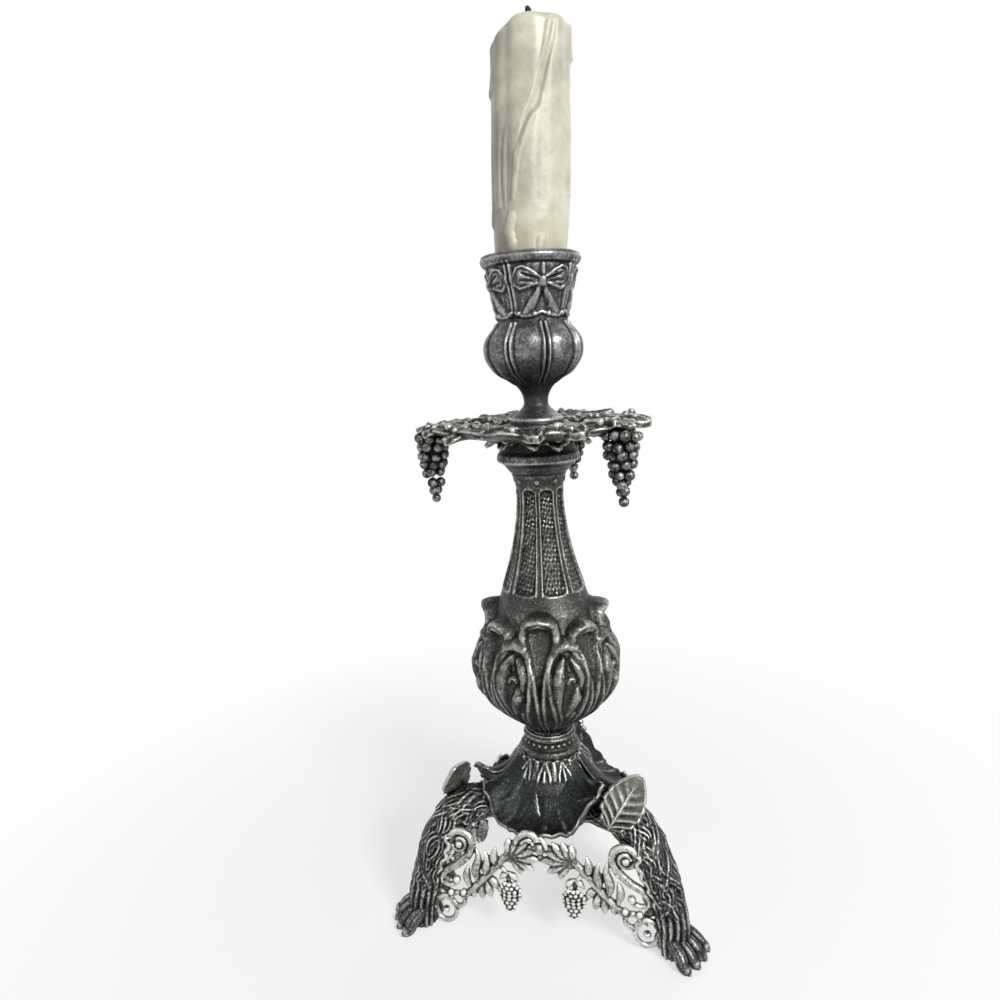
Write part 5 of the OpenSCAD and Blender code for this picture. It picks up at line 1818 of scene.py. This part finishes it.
    def knot(self) -> Object:
        """Returns the knot where the two halves meet, with the curled bud over it."""
        bm = bmesh.new()
        ball(bm, self.on_panel(0, 30.4, 0.2), (1.6, 1.3, 1.9), 3)
        ball(bm, self.on_panel(0, 27.8, 0.0), (0.9, 0.8, 1.5))
        outer = [(-7.2, 32.0, 0.6), (-6.2, 34.0, 0.9), (-4.2, 35.6, 1.05), (-1.8, 35.4, 1.0), (-0.4, 33.6, 0.9)]
        inner = [(-5.6, 31.8, 0.5), (-4.4, 33.4, 0.8), (-2.6, 33.4, 0.7), (-1.8, 31.8, 0.5)]
        right = [(0.2, 34.8, 0.5), (1.6, 33.0, 0.8), (2.2, 31.0, 0.6)]
        curls = [self.line(outer, 1.2), self.line(inner, 0.9), self.line(right, 1.0)]
        return joined("knot", [new_object("balls", bm), tubes("curls", curls, 0.3)])


# The studio


@dataclass
class Studio:
    """The camera at the photograph's angle, soft lamps, and a pale floor that runs to the horizon."""

    eye: Point3 = (0.0380, -0.2099, 0.1702)
    heading: Point2 = (-0.2334, 0.9724)
    pitch: float = -10.47
    roll: float = 2.95
    focal_px: float = 720.0
    frame_px: float = 1000.0
    lamps_aim: float = 0.11
    soft_light: float = 0.24
    floor_half: float = 6.0

    def build(self) -> None:
        """Builds camera, lamps, world and floor."""
        self.camera()
        self.lamps()
        self.world()
        self.floor()

    def camera(self) -> None:
        """Makes the camera."""
        level = Vector((*self.heading, 0)).normalized()
        pitch, roll = math.radians(self.pitch), math.radians(self.roll)
        ahead = level * math.cos(pitch) + Vector((0, 0, math.sin(pitch)))
        right = Vector((level.y, -level.x, 0))
        up = right.cross(ahead)
        turned_right = right * math.cos(roll) - up * math.sin(roll)
        turned_up = right * math.sin(roll) + up * math.cos(roll)
        data = bpy.data.cameras.new("camera")
        data.sensor_width = 36
        data.lens = data.sensor_width * self.focal_px / self.frame_px
        data.clip_start = 0.01
        eye = linked("camera", data)
        basis = Matrix((turned_right, turned_up, -ahead)).transposed().to_4x4()
        eye.matrix_world = Matrix.Translation(self.eye) @ basis
        bpy.context.scene.camera = eye

    def lamp(self, name: str, place: Sequence[float], size: float, power: float, colour: Colour) -> None:
        """Makes a square lamp that faces the holder.

        Args:
            name: the lamp's name.
            place: where it stands, in metres.
            size: its side.
            power: its power in watts.
            colour: its colour.
        """
        data = bpy.data.lights.new(name, "AREA")
        data.size = size
        data.energy = power
        data.color = colour
        lamp = linked(name, data)
        lamp.location = place
        aim = Vector((0, 0, self.lamps_aim)) - Vector(place)
        lamp.rotation_euler = aim.to_track_quat("-Z", "Y").to_euler()

    def lamps(self) -> None:
        """Makes the key, the fill and the rim lamp."""
        self.lamp("key", (0.46, -0.46, 0.50), size=0.24, power=5.5, colour=(1.0, 0.99, 0.97))
        self.lamp("fill", (-0.7, -0.4, 0.35), size=0.6, power=0.35, colour=(0.94, 0.97, 1.0))
        self.lamp("rim", (0.2, 0.7, 0.6), size=0.5, power=1.6, colour=(1.0, 1.0, 1.0))

    def world(self) -> None:
        """Makes an even grey light with a white background for camera, gloss and glass."""
        world = bpy.data.worlds.new("studio")
        bpy.context.scene.world = world
        world.use_nodes = True
        nodes = NodeTree(world.node_tree)
        nodes.tree.nodes.clear()
        soft = nodes.add("ShaderNodeBackground", Color=(0.93, 0.96, 1.0, 1), Strength=self.soft_light)
        white = nodes.add("ShaderNodeBackground", Color=(1, 1, 1, 1), Strength=1.0)
        nodes.add("ShaderNodeOutputWorld", Surface=nodes.blend(nodes.seen(), soft, white))

    def floor(self) -> None:
        """Makes the pale floor, which takes the holder's shadow and turns into the white background."""
        bm = bmesh.new()
        bmesh.ops.create_grid(bm, x_segments=8, y_segments=8, size=self.floor_half)
        piece = new_object("floor", bm)
        recipe = Recipe("pale floor")
        recipe.feed(recipe.shader, Base_Color=(0.9, 0.9, 0.89, 1), Roughness=0.9)
        where = recipe.add("ShaderNodeTexCoord").outputs["Object"]
        away = recipe.add("ShaderNodeVectorMath", {"operation": "LENGTH"}, Vector=where).outputs["Value"]
        # Paler away from the holder: a share of the glow near it, and nothing but glow at the far end
        near, far, nearest_share = 0.07, 0.24, 0.65
        share = recipe.scaled(recipe.stretch(away, near, far), 0.35, nearest_share)
        share = recipe.math("MULTIPLY", share, recipe.seen())
        glow = recipe.add("ShaderNodeEmission", Color=(1, 1, 1, 1), Strength=1.0)
        recipe.feed(recipe.output, Surface=recipe.blend(share, recipe.shader, glow))
        piece.data.materials.append(recipe.material)


def metal_parts() -> None:
    """Gives the rod, washer and nut of the CAD model their finish."""
    for node in ("tie_rod", "rod_washer", "rod_nut"):
        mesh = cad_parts[node].data
        mesh.materials.clear()
        mesh.materials.append(FINISHES.of(PlatedSteel()))


def main() -> None:
    """Builds the studio and every sub-assembly in order."""
    logging.basicConfig(level=logging.INFO, format="%(message)s")
    bpy.context.scene.view_settings.view_transform = "Standard"
    Studio().build()
    Candle().build()
    CandleCup().build()
    DripPan().build()
    for number, angle in enumerate(BUNCH_ANGLES, 1):
        GrapeBunch(number, angle).build()
    Stem().build()
    Collar().build()
    Hub().build()
    Leg().build(LEG_ANGLES)
    LargeLeaf().build(PANEL_ANGLES)
    VinePanel().build(PANEL_ANGLES)
    metal_parts()


if __name__ == "__main__":
    main()
